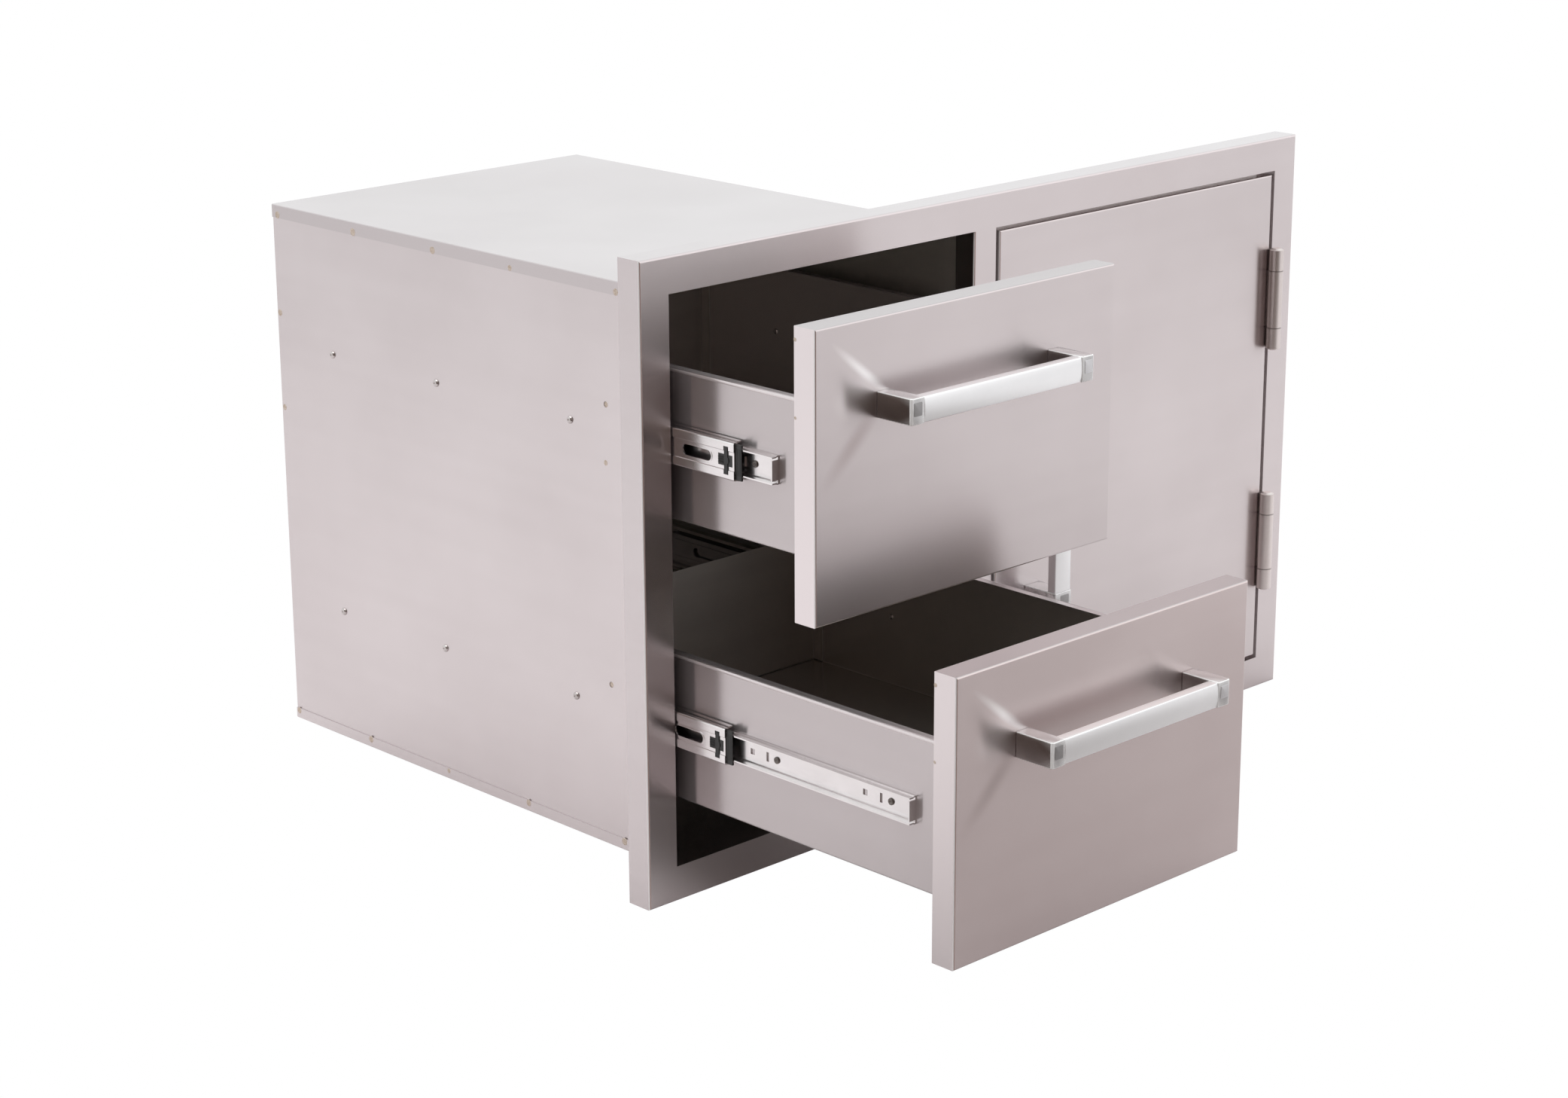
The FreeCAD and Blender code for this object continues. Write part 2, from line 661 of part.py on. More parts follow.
def save_door():
    """Write the door, its handle, its hinges and its magnet catch."""
    z0, z1 = OPEN_Z0 + GAP, OPEN_Z1 - GAP
    x0, x1 = DOOR_PANEL_X0, DOOR_PANEL_X1
    handle_x = x0 + DOOR_HANDLE_IN
    save("door_skin", make_skin(x0, x1, z0, z1, Y_FACE))
    save("door_liner", make_liner(x0, x1, z0, z1, Y_FACE))
    save_handle("door", ("lower", "upper"), handle_x, Y_FACE, 0, True)
    for name, z in zip(("lower", "upper"), hinge_heights()):
        save(f"{name}_hinge_frame_leaf", make_leaf(z, True))
        save(f"{name}_hinge_door_leaf", make_leaf(z, False))
    save("hinge_pins", make_hinge_pins())


def save_catch():
    """Write the magnet catch on its tab behind the mullion and the striker."""
    tab_x1 = DOOR_X0 - FRAME_SHEET
    tab_x0 = tab_x1 - FRAME_SHEET
    face_y = Y_PANEL + STRIKER_T + STRIKER_GAP
    body_y = face_y + MAGNET_PROUD
    body_x0, body_x1 = tab_x1, tab_x1 + CATCH_W
    tab = box(
        tab_x0, tab_x1, Y_FACE + FRAME_EDGE_R, body_y + CATCH_DEPTH,
        CATCH_Z - CATCH_TAB_H / 2, CATCH_Z + CATCH_TAB_H / 2,
    )
    wall, low, high = CATCH_WALL, CATCH_Z - CATCH_H / 2, CATCH_Z + CATCH_H / 2
    ear = (CATCH_H - MAGNET_H) / 2
    magnet = box(body_x0 + wall, body_x1 - wall, face_y, body_y + MAGNET_DEPTH, low + ear, high - ear)
    body = box(body_x0, body_x1, body_y, body_y + CATCH_DEPTH, low, high)
    upright = [e for e in body.Edges if abs(e.CenterOfMass.z - CATCH_Z) < 1e-6]
    outer = [e for e in upright if abs(e.CenterOfMass.x - body_x1) < 1e-6]
    striker_x0 = DOOR_PANEL_X0 + PANEL_SHEET + LINER_SHEET
    striker = box(striker_x0, striker_x0 + STRIKER_W, Y_PANEL, Y_PANEL + STRIKER_T, low, high)
    save("catch_tab", tab)
    save("catch_housing", body.makeFillet(CATCH_WALL / 2, outer).cut(magnet))
    save("catch_magnet", magnet)
    save("striker_plate", striker)


save("face_frame", make_face_frame())
save("mullion", make_mullion())
save("enclosure_left_side", make_side(WALL_X0, -1))
save("enclosure_right_side", make_side(WALL_X1, 1))
save("enclosure_top", make_cover(True))
save("enclosure_bottom", make_cover(False))
save("enclosure_back", make_back())
lower_bottom, upper_bottom = front_bottoms()
save_drawer("upper", upper_bottom, UPPER_OPEN, UPPER_MID_OPEN)
save_drawer("lower", lower_bottom, LOWER_OPEN, LOWER_MID_OPEN)
save_door()
save_catch()
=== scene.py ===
"""Dressed model of an outdoor kitchen drawer unit.

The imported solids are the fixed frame. This script gives every sheet, slide, hinge and handle its finish, adds
the fixings and small formed details that the solids leave out, and sets the camera and the studio round them.
All sizes are in metres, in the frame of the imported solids: X to the right, Y into the island, Z up.
"""

import logging
import math
from dataclasses import dataclass
from enum import Enum
from typing import Callable, Optional, Sequence

import bmesh
import bpy
from mathutils import Matrix, Vector


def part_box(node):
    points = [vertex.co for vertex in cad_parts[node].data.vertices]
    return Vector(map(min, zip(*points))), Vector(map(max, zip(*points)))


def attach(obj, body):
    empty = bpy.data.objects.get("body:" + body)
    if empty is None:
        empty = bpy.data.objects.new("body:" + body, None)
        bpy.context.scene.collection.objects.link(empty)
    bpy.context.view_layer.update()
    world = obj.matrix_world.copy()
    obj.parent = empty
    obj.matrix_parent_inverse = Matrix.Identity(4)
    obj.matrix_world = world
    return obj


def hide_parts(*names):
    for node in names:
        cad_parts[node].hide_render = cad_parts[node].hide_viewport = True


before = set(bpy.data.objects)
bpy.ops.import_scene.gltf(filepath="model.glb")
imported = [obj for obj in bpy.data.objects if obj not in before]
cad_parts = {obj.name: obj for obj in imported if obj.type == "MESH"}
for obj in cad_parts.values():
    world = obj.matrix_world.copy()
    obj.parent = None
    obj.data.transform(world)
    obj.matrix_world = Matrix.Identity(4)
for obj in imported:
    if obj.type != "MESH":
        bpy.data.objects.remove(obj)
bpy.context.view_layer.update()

log = logging.getLogger("drawer_unit")

Colour = tuple[float, float, float]
Point = tuple[float, float, float]
Placing = Callable[[float, float, float], Point]

MM = 0.001


class Facing(Enum):
    """A direction that a fixing's head looks along."""

    LEFT = (-1.0, 0.0, 0.0)
    RIGHT = (1.0, 0.0, 0.0)
    FRONT = (0.0, -1.0, 0.0)
    BACK = (0.0, 1.0, 0.0)
    UP = (0.0, 0.0, 1.0)
    DOWN = (0.0, 0.0, -1.0)


# Finishes


class Wiring:
    """Node tree of one finish, wired by short calls round a Principled shader."""

    def __init__(self, name: str) -> None:
        """Start a material of that name with its shader and output."""
        self.material = bpy.data.materials.new(name)
        self.material.use_nodes = True
        self.tree = self.material.node_tree
        self.tree.nodes.clear()
        self.shader = self.add("ShaderNodeBsdfPrincipled")
        output = self.add("ShaderNodeOutputMaterial")
        self.tree.links.new(self.shader.outputs["BSDF"], output.inputs["Surface"])
        self.place = self.add("ShaderNodeTexCoord").outputs["Object"]

    def add(self, kind: str, **settings: object) -> bpy.types.Node:
        """Add a node.

        Args:
            kind: Blender's type name of the node.
            settings: properties of the node, by name.

        Returns:
            The new node.
        """
        node = self.tree.nodes.new(kind)
        for key, value in settings.items():
            setattr(node, key, value)
        return node

    def feed(self, target: bpy.types.NodeSocket, value: object) -> None:
        """Link a socket to a target, or set the target to a plain value."""
        if isinstance(value, bpy.types.NodeSocket):
            self.tree.links.new(value, target)
        else:
            target.default_value = value

    def math(self, kind: str, first: object, second: object = 0.0, third: object = 0.0) -> bpy.types.NodeSocket:
        """Return the result of one Math node."""
        node = self.add("ShaderNodeMath", operation=kind)
        for socket, value in zip(node.inputs, (first, second, third)):
            self.feed(socket, value)
        return node.outputs[0]

    def stretched(self, scale: Point) -> bpy.types.NodeSocket:
        """Return the object's own coordinates, scaled along each axis."""
        node = self.add("ShaderNodeMapping")
        self.feed(node.inputs["Vector"], self.place)
        node.inputs["Scale"].default_value = scale
        return node.outputs[0]

    def noise(self, vector: object, scale: float, detail: float = 3.0, rough: float = 0.5) -> bpy.types.NodeSocket:
        """Return a noise value between 0 and 1 over a vector."""
        node = self.add("ShaderNodeTexNoise")
        self.feed(node.inputs["Vector"], vector)
        node.inputs["Scale"].default_value = scale
        node.inputs["Detail"].default_value = detail
        node.inputs["Roughness"].default_value = rough
        return node.outputs[0]

    def band(self, value: object, low: float, high: float, to_low: float, to_high: float) -> bpy.types.NodeSocket:
        """Return a value mapped from one span to another and held inside it."""
        node = self.add("ShaderNodeMapRange")
        self.feed(node.inputs[0], value)
        for socket, number in zip(node.inputs[1:5], (low, high, to_low, to_high)):
            socket.default_value = number
        return node.outputs[0]

    def mix(self, factor: object, first: object, second: object) -> bpy.types.NodeSocket:
        """Return the mix of two colours, each a socket or three numbers."""
        node = self.add("ShaderNodeMix", data_type="RGBA")
        self.feed(node.inputs[0], factor)
        for socket, value in zip((node.inputs[6], node.inputs[7]), (first, second)):
            self.feed(socket, value if isinstance(value, bpy.types.NodeSocket) else (*value, 1.0))
        return node.outputs[2]

    def bump(self, height: object, depth: float, under: object = None) -> bpy.types.NodeSocket:
        """Return a normal raised by a height field, over another normal if one is given."""
        node = self.add("ShaderNodeBump")
        self.feed(node.inputs["Height"], height)
        node.inputs["Distance"].default_value = depth
        if under is not None:
            self.feed(node.inputs["Normal"], under)
        return node.outputs[0]

    def set(self, **values: object) -> None:
        """Set or link sockets of the shader; an underscore in a name stands for a space."""
        for key, value in values.items():
            socket = self.shader.inputs[key.replace("_", " ")]
            if isinstance(value, tuple) and len(value) == 3 and socket.type == "RGBA":
                value = (*value, 1.0)
            self.feed(socket, value)


@dataclass(frozen=True)
class PaintedStreak:
    """A soft straight streak painted into a sheet: a long ellipse in its own tint that fades into the rest, painted
    light where the tint is pale and painted shadow where it is dark.
    """

    centre: Point
    half_length: float
    half_width: float
    angle: float
    tint: Colour
    share: float
    dull: float = 0.0

    def mask(self, wiring: Wiring) -> bpy.types.NodeSocket:
        """Return 1 in the middle of the streak and 0 at its rim."""
        turned = wiring.add("ShaderNodeMapping", vector_type="TEXTURE")
        wiring.feed(turned.inputs["Vector"], wiring.place)
        turned.inputs["Location"].default_value = self.centre
        turned.inputs["Rotation"].default_value = (0.0, -math.radians(self.angle), 0.0)
        turned.inputs["Scale"].default_value = (self.half_length, 1.0, self.half_width)
        reach = wiring.add("ShaderNodeVectorMath", operation="LENGTH")
        wiring.feed(reach.inputs[0], turned.outputs[0])
        near = wiring.band(reach.outputs["Value"], 0.0, 1.0, 1.0, 0.0)
        return wiring.math("MULTIPLY", wiring.math("MULTIPLY", near, near), wiring.math("MULTIPLY_ADD", near, -2.0, 3.0))


def post_reflection_streaks(x: float, y: float, z: float) -> tuple[PaintedStreak, ...]:
    """Return the streaks painted round a handle's left-hand post on a front sheet: two pale painted highlights and one
    dark painted shadow, standing in for the post's reflection and shadow in the sheet.
    """
    return (
        PaintedStreak((x - 0.03, y, z + 0.008), 0.03, 0.022, 0.0, (0.95, 0.89, 0.89), 0.5),
        PaintedStreak((x - 0.021, y, z + 0.028), 0.05, 0.006, -38.0, (1.0, 0.97, 0.97), 0.75),
        PaintedStreak((x - 0.033, y, z - 0.027), 0.056, 0.012, 43.0, (0.4, 0.33, 0.32), 0.5),
    )


@dataclass(frozen=True)
class BrushedSteel:
    """Stainless sheet with a grain of fine straight scratches that runs level. Its colour also carries painted light
    and shade: on left-hand folds, and on faces by the way they look.
    """

    name: str
    tint: Colour = (0.675, 0.612, 0.615)
    shade: Colour = (0.61, 0.548, 0.55)
    roughness: float = 0.245
    spread: float = 0.85
    grain_depth: float = 0.0000012
    grain_pitch: float = 1600.0
    grain_length: float = 14.0
    # fold_highlight and fold_shade_line are painted light: a pale highlight and a thin dark line on left-hand folds
    fold_highlight: Colour = (0.86, 0.83, 0.83)
    fold_shade_line: Colour = (0.36, 0.22, 0.19)
    fold_gloss: float = 0.6
    metal: float = 1.0
    # side, top, outside and inside are painted light and shade: colours for faces square to X, faces square to Z,
    # faces that look right or back, and faces inside within; side_metal takes metal off the faces square to X
    side: Optional[Colour] = None
    top: Optional[Colour] = None
    side_metal: float = 1.0
    outside: Optional[Colour] = None
    inside: Optional[Colour] = None
    within: tuple[Point, Point] = ((0.0, 0.0, 0.0), (0.0, 0.0, 0.0))
    # painted streaks of light and shadow round a handle's post
    painted_streaks: tuple[PaintedStreak, ...] = ()

    def fold_highlight_mask(self, wiring: Wiring) -> bpy.types.NodeSocket:
        """Return 1 on the round of a left-hand upright fold and 0 on the flat, from the piece's own normal: where the
        painted fold highlight goes.
        """
        turn = wiring.add("ShaderNodeSeparateXYZ")
        wiring.feed(turn.inputs[0], wiring.add("ShaderNodeTexCoord").outputs["Normal"])
        bend = wiring.math("MULTIPLY", turn.outputs[0], turn.outputs[1])
        return wiring.band(bend, 0.12, 0.42, 0.0, 1.0)

    def painted_fold_colour(self, wiring: Wiring) -> bpy.types.NodeSocket:
        """Return the fold's painted colour: a painted highlight where it leaves the side and a thin painted shade line
        at the front.
        """
        turn = wiring.add("ShaderNodeSeparateXYZ")
        wiring.feed(turn.inputs[0], wiring.add("ShaderNodeTexCoord").outputs["Normal"])
        side, front = (wiring.math("ABSOLUTE", turn.outputs[axis]) for axis in (0, 1))
        return wiring.mix(wiring.band(wiring.math("SUBTRACT", front, side), 0.05, 0.3, 0.0, 1.0), self.fold_highlight, self.fold_shade_line)

    def facing(self, wiring: Wiring, axis: int) -> bpy.types.NodeSocket:
        """Return 1 on faces square to an axis of the piece and 0 elsewhere."""
        turn = wiring.add("ShaderNodeSeparateXYZ")
        wiring.feed(turn.inputs[0], wiring.add("ShaderNodeTexCoord").outputs["Normal"])
        return wiring.band(wiring.math("ABSOLUTE", turn.outputs[axis]), 0.6, 0.9, 0.0, 1.0)

    def outward(self, wiring: Wiring) -> bpy.types.NodeSocket:
        """Return 1 on faces that look to the right or back of the piece and 0 elsewhere."""
        turn = wiring.add("ShaderNodeSeparateXYZ")
        wiring.feed(turn.inputs[0], wiring.add("ShaderNodeTexCoord").outputs["Normal"])
        return wiring.band(wiring.math("MAXIMUM", turn.outputs[0], turn.outputs[1]), 0.6, 0.9, 0.0, 1.0)

    def enclosed(self, wiring: Wiring) -> bpy.types.NodeSocket:
        """Return 1 between the two corners that bound the inside faces and 0 elsewhere."""
        spot = wiring.add("ShaderNodeSeparateXYZ")
        wiring.feed(spot.inputs[0], wiring.place)
        share: object = 1.0
        for low, high, place in zip(*self.within, spot.outputs):
            share = wiring.math("MULTIPLY", share, wiring.math("GREATER_THAN", place, low))
            share = wiring.math("MULTIPLY", share, wiring.math("LESS_THAN", place, high))
        return share

    def grain(self, wiring: Wiring) -> bpy.types.NodeSocket:
        """Return coordinates stretched along the grain: level on upright sheets, along X on flat ones."""
        upright = wiring.stretched((self.grain_length, self.grain_length, self.grain_pitch))
        flat = wiring.stretched((self.grain_length, self.grain_pitch, self.grain_length))
        look = wiring.add("ShaderNodeSeparateXYZ")
        wiring.feed(look.inputs[0], wiring.add("ShaderNodeNewGeometry").outputs["True Normal"])
        level = wiring.math("GREATER_THAN", wiring.math("ABSOLUTE", look.outputs[2]), 0.7)
        pick = wiring.add("ShaderNodeMix", data_type="VECTOR")
        wiring.feed(pick.inputs[0], level)
        wiring.feed(pick.inputs[4], upright)
        wiring.feed(pick.inputs[5], flat)
        return pick.outputs[1]

    def material(self) -> bpy.types.Material:
        """Return the finish as a material."""
        wiring = Wiring(self.name)
        along = self.grain(wiring)
        fine = wiring.noise(along, 1.0, 3.0, 0.65)
        cloud = wiring.noise(wiring.stretched((1.0, 1.0, 1.0)), 7.0, 3.0, 0.55)
        streak = wiring.noise(wiring.stretched((2.2, 2.2, 60.0)), 1.0, 2.0, 0.5)
        tone = wiring.math("MULTIPLY_ADD", fine, 0.08, wiring.math("MULTIPLY_ADD", cloud, 0.9, wiring.math("MULTIPLY", streak, 0.32)))
        wave = wiring.noise(wiring.stretched((1.0, 1.0, 1.0)), 3.2, 1.0, 0.4)
        tangent = wiring.add("ShaderNodeCombineXYZ")
        tangent.inputs[1].default_value = 0.03
        tangent.inputs[2].default_value = 1.0
        # share of the painted fold highlight: there the colour is paler, the metal less and the roughness more
        fold = self.fold_highlight_mask(wiring)
        sheet = wiring.mix(wiring.band(tone, 0.35, 0.95, 0.0, 1.0), self.shade, self.tint)
        # painted light and shade: faces square to X and to Z take their own lighter or darker colour
        for axis, colour in ((0, self.side), (2, self.top)):
            if colour is not None:
                sheet = wiring.mix(self.facing(wiring, axis), sheet, colour)
        # painted light and shade: faces that look right or back, and faces inside within, take their own colour
        if self.outside is not None:
            sheet = wiring.mix(self.outward(wiring), sheet, self.outside)
        if self.inside is not None:
            sheet = wiring.mix(self.enclosed(wiring), sheet, self.inside)
        patch = wiring.noise(wiring.stretched((1.0, 1.0, 1.0)), 4.0, 1.0, 0.4)
        blurred = wiring.band(patch, 0.2, 0.8, self.roughness - 0.02, self.roughness + 0.025)
        metallic = wiring.band(fold, 0.0, 1.0, self.metal, min(self.metal, self.fold_gloss))
        if self.side_metal != 1.0:
            metallic = wiring.math("MULTIPLY", metallic, wiring.band(self.facing(wiring, 0), 0.0, 1.0, 1.0, self.side_metal))
        relief = wiring.bump(wave, 0.0006)
        # paint each streak into the colour as painted light or painted shadow, by its tint; dull takes metal away
        # under it
        for painted_streak in self.painted_streaks:
            near = painted_streak.mask(wiring)
            sheet = wiring.mix(wiring.math("MULTIPLY", near, painted_streak.share), sheet, painted_streak.tint)
            metallic = wiring.math("MULTIPLY", metallic, wiring.band(near, 0.0, 1.0, 1.0, 1.0 - painted_streak.dull))
        wiring.set(
            # the painted fold highlight and shade line go into the base colour
            Base_Color=wiring.mix(fold, sheet, self.painted_fold_colour(wiring)),
            Metallic=metallic,
            Roughness=wiring.math("MULTIPLY_ADD", fold, 0.3, blurred),
            Anisotropic=self.spread,
            Tangent=tangent.outputs[0],
            Normal=wiring.bump(fine, self.grain_depth, relief),
        )
        return wiring.material


@dataclass(frozen=True)
class SmoothMetal:
    """Plated or polished metal: a fine tooth, faint clouding and a few handling marks, with an optional painted
    highlight on rounded edges and optional painted shadow lines at given heights.
    """

    name: str
    tint: Colour
    shade: Colour
    roughness: float
    variation: float = 0.06
    tooth: float = 2600.0
    tooth_depth: float = 0.000006
    coat: float = 0.0
    # edge: strength of a painted highlight on rounded edges
    edge: float = 0.0
    # painted shadow: thin dark lines at these heights, standing in for shade in the gaps between hinge knuckles
    joints: tuple[float, ...] = ()
    knuckle_shadow_tint: Colour = (0.12, 0.095, 0.085)

    def edges(self, wiring: Wiring) -> bpy.types.NodeSocket:
        """Return how much a spot lies on a rounded edge, from the piece's own normal: the share of the painted edge
        highlight.
        """
        turn = wiring.add("ShaderNodeSeparateXYZ")
        wiring.feed(turn.inputs[0], wiring.add("ShaderNodeTexCoord").outputs["Normal"])
        x, z = (wiring.math("ABSOLUTE", turn.outputs[axis]) for axis in (0, 2))
        y = wiring.math("MAXIMUM", wiring.math("MULTIPLY", turn.outputs[1], -1.0), 0.0)
        bend = wiring.math("MULTIPLY_ADD", x, y, wiring.math("MULTIPLY_ADD", y, z, wiring.math("MULTIPLY", z, x)))
        return wiring.band(bend, 0.1, 0.4, 0.0, self.edge)

    def material(self) -> bpy.types.Material:
        """Return the finish as a material."""
        wiring = Wiring(self.name)
        fine = wiring.noise(wiring.place, self.tooth, 2.0, 0.6)
        cloud = wiring.noise(wiring.place, 45.0, 4.0, 0.6)
        marks = wiring.noise(wiring.stretched((400.0, 60.0, 400.0)), 1.0, 2.0, 0.5)
        tone = wiring.math("MULTIPLY_ADD", cloud, 0.7, wiring.math("MULTIPLY", marks, 0.3))
        colour = wiring.mix(wiring.band(tone, 0.3, 0.7, 0.0, 1.0), self.shade, self.tint)
        spot = wiring.add("ShaderNodeSeparateXYZ")
        wiring.feed(spot.inputs[0], wiring.place)
        # painted shadow lines in the knuckle gaps
        for height in self.joints:
            off = wiring.math("ABSOLUTE", wiring.math("SUBTRACT", spot.outputs[2], height))
            colour = wiring.mix(wiring.band(off, 0.0003, 0.0009, 0.4, 0.0), colour, self.knuckle_shadow_tint)
        wiring.set(
            Base_Color=colour,
            Metallic=1.0,
            Roughness=wiring.band(tone, 0.3, 0.7, self.roughness + self.variation, self.roughness),
            Coat_Weight=self.coat,
            Normal=wiring.bump(fine, self.tooth_depth),
        )
        # painted highlight on the rounded edges: a pale colour and no metal, so they read bright
        if self.edge:
            bright = self.edges(wiring)
            tint = wiring.shader.inputs["Base Color"].links[0].from_socket
            wiring.set(Base_Color=wiring.mix(bright, tint, (0.93, 0.92, 0.92)), Metallic=wiring.band(bright, 0.0, 1.0, 1.0, 0.0))
        return wiring.material


@dataclass(frozen=True)
class DarkMoulding:
    """Moulded plastic or ceramic: a matt skin with a fine spark-eroded grain."""

    name: str
    tint: Colour = (0.018, 0.017, 0.017)
    shade: Colour = (0.03, 0.028, 0.027)
    roughness: float = 0.42
    grain: float = 3200.0

    def material(self) -> bpy.types.Material:
        """Return the finish as a material."""
        wiring = Wiring(self.name)
        fine = wiring.noise(wiring.place, self.grain, 2.0, 0.6)
        cloud = wiring.noise(wiring.place, 90.0, 3.0, 0.5)
        wiring.set(
            Base_Color=wiring.mix(wiring.band(cloud, 0.35, 0.65, 0.0, 1.0), self.tint, self.shade),
            Roughness=wiring.band(cloud, 0.3, 0.7, self.roughness - 0.07, self.roughness + 0.1),
            Normal=wiring.bump(fine, 0.00002),
        )
        return wiring.material


@dataclass(frozen=True)
class HeatTint:
    """Bare steel browned by a spot weld, dark in the middle and straw at the rim."""

    name: str
    tint: Colour = (0.42, 0.32, 0.25)
    shade: Colour = (0.66, 0.57, 0.5)

    def material(self) -> bpy.types.Material:
        """Return the finish as a material."""
        wiring = Wiring(self.name)
        cloud = wiring.noise(wiring.place, 900.0, 3.0, 0.6)
        wiring.set(
            Base_Color=wiring.mix(wiring.band(cloud, 0.35, 0.65, 0.0, 1.0), self.tint, self.shade),
            Metallic=0.8,
            Roughness=wiring.band(cloud, 0.3, 0.7, 0.38, 0.55),
            Normal=wiring.bump(cloud, 0.00008),
        )
        return wiring.material


# heights of the gaps between hinge knuckles, where a painted shadow line goes
KNUCKLE_SHADOW_HEIGHTS = tuple(
    (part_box(f"{name}_hinge_frame_leaf")[0].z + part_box(f"{name}_hinge_frame_leaf")[1].z) / 2 + side * 27.85 * MM
    for name in ("lower", "upper")
    for side in (-1, 1)
)


class Finish(Enum):
    """Every finish of the unit."""

    SHEET = BrushedSteel("brushed_sheet")
    # tray backs: a mill-finish tone darkened as painted shade inside the drawer, faces square to X painted lighter,
    # and no fold highlight
    INNER_PAINTED_SHADE = BrushedSteel("mill_sheet_inside_painted_shade", (0.42, 0.39, 0.37), (0.34, 0.315, 0.3), 0.4, 0.6, fold_highlight=(0.42, 0.39, 0.37), fold_shade_line=(0.42, 0.39, 0.37), metal=0.7, side=(0.63, 0.585, 0.54))
    # cover: its lip, the faces square to X, painted darker as shade
    COVER = BrushedSteel("cover_sheet", side=(0.567, 0.514, 0.517))
    FRAME = BrushedSteel("frame_sheet", (0.68, 0.618, 0.622), (0.62, 0.555, 0.558), side_metal=0.65)
    # door: faces square to X painted lighter, and its top face painted dark as the shade in the gap above it
    DOOR = BrushedSteel("door_sheet", side=(0.776, 0.704, 0.707), top=(0.3, 0.2, 0.185), side_metal=0.5)
    # fronts: faces square to X painted lighter and top faces darker for how light falls on them, with painted streaks
    # round the handle's left post; the lower front's browner tint is a painted shade
    FRONT_UP = BrushedSteel(
        "front_sheet_upper",
        side=(0.756, 0.685, 0.689),
        top=(0.54, 0.49, 0.492),
        painted_streaks=post_reflection_streaks(-0.3098, -0.1874, 0.1702),
    )
    FRONT_LOW = BrushedSteel(
        "front_sheet_lower",
        (0.68, 0.59, 0.583),
        (0.615, 0.525, 0.518),
        side=(0.709, 0.643, 0.646),
        top=(0.54, 0.485, 0.485),
        painted_streaks=post_reflection_streaks(-0.3098, -0.3384, -0.072),
    )
    # trays: the inside faces are painted, lighter in the upper drawer and browner in the lower one, for the light that
    # falls into each
    TRAY_UP = BrushedSteel(
        "tray_sheet_upper",
        (0.585, 0.53, 0.533),
        (0.53, 0.475, 0.477),
        metal=0.8,
        inside=(0.64, 0.59, 0.56),
        within=((-0.3759, -1.0, -1.0), (-0.0437, 1.0, 0.1788)),
    )
    TRAY_LOW = BrushedSteel(
        "tray_sheet_lower",
        (0.585, 0.53, 0.533),
        (0.53, 0.475, 0.477),
        metal=0.8,
        inside=(0.555, 0.51, 0.475),
        within=((-0.3759, -1.0, -1.0), (-0.0437, 1.0, -0.0635)),
    )
    # mullion: its return, the faces square to X, painted dark as shade
    MULLION = BrushedSteel("mullion_sheet", (0.68, 0.618, 0.622), (0.62, 0.555, 0.558), side=(0.374, 0.34, 0.335))
    # hems: a lighter, less metallic copy of the sheet, painted as the highlight they catch
    HEM_PAINTED_LIT = BrushedSteel("hem_sheet_painted_highlight", (0.8, 0.73, 0.73), (0.74, 0.67, 0.67), metal=0.6)
    # enclosure's right wall and back: their own mill-finish tone, painted lighter on the inside faces to stand in for
    # light inside the enclosure; faces that look right or back keep about the sheet's tone
    BOX = BrushedSteel("box_sheet_inside_painted_light", (0.74, 0.72, 0.67), (0.67, 0.65, 0.6), 0.4, 0.6, metal=0.8, outside=(0.64, 0.58, 0.583))
    # painted light and shade: the two front liners are one sheet in a lit copy for the upper drawer and a dark brown
    # shaded copy for the lower one
    LINER_PAINTED_LIT = BrushedSteel("front_back_upper_painted_light", (0.84, 0.79, 0.79), (0.78, 0.73, 0.73), 0.38, 0.85, metal=0.5)
    LINER_LOW_PAINTED_SHADE = BrushedSteel("front_back_lower_painted_shade", (0.28, 0.235, 0.215), (0.24, 0.2, 0.183), 0.38, 0.85)
    # cap plates: one plate colour in a lit copy for the second end and a shaded copy for the first end, painted for
    # how light falls on each end
    CAP_PAINTED_LIT = SmoothMetal("cap_plate_painted_light", (0.68, 0.67, 0.68), (0.62, 0.61, 0.62), 0.28, 0.05)
    GRIP = SmoothMetal("satin_grip", (0.9, 0.895, 0.9), (0.87, 0.865, 0.87), 0.28, 0.02, 2600.0, 0.000002)
    # chrome end blocks, with the painted edge highlight
    POST = SmoothMetal("chrome_post", (0.57, 0.56, 0.56), (0.53, 0.52, 0.52), 0.09, 0.03, 1800.0, 0.0000002, edge=0.9)
    CAP_PAINTED_SHADE = SmoothMetal("cap_plate_painted_shade", (0.36, 0.35, 0.35), (0.3, 0.29, 0.29), 0.3, 0.05)
    HINGE = SmoothMetal(
        "hinge_steel", (0.74, 0.67, 0.65), (0.68, 0.61, 0.59), 0.3, 0.04, 2600.0, 0.000002, joints=KNUCKLE_SHADOW_HEIGHTS
    )
    ZINC = SmoothMetal("zinc_slide", (0.85, 0.81, 0.81), (0.77, 0.73, 0.73), 0.2, 0.07)
    RIVET = SmoothMetal("fixing_steel", (0.6, 0.55, 0.54), (0.47, 0.42, 0.41), 0.14, 0.08)
    SCREW = SmoothMetal("darkened_screw", (0.2, 0.175, 0.16), (0.12, 0.105, 0.1), 0.3, 0.1)
    BALL = SmoothMetal("bearing_ball", (0.82, 0.82, 0.83), (0.75, 0.75, 0.76), 0.05, 0.02)
    PLASTIC = DarkMoulding("retainer_plastic")
    FERRITE = DarkMoulding("magnet_ferrite", (0.05, 0.048, 0.05), (0.075, 0.072, 0.075), 0.55, 1500.0)
    WELD = HeatTint("weld_mark")


class Palette:
    """Materials of the unit, each made once."""

    made: dict[Finish, bpy.types.Material] = {}

    @classmethod
    def get(cls, finish: Finish) -> bpy.types.Material:
        """Return the material of a finish."""
        if finish not in cls.made:
            cls.made[finish] = finish.value.material()
        return cls.made[finish]


# Meshes and pieces


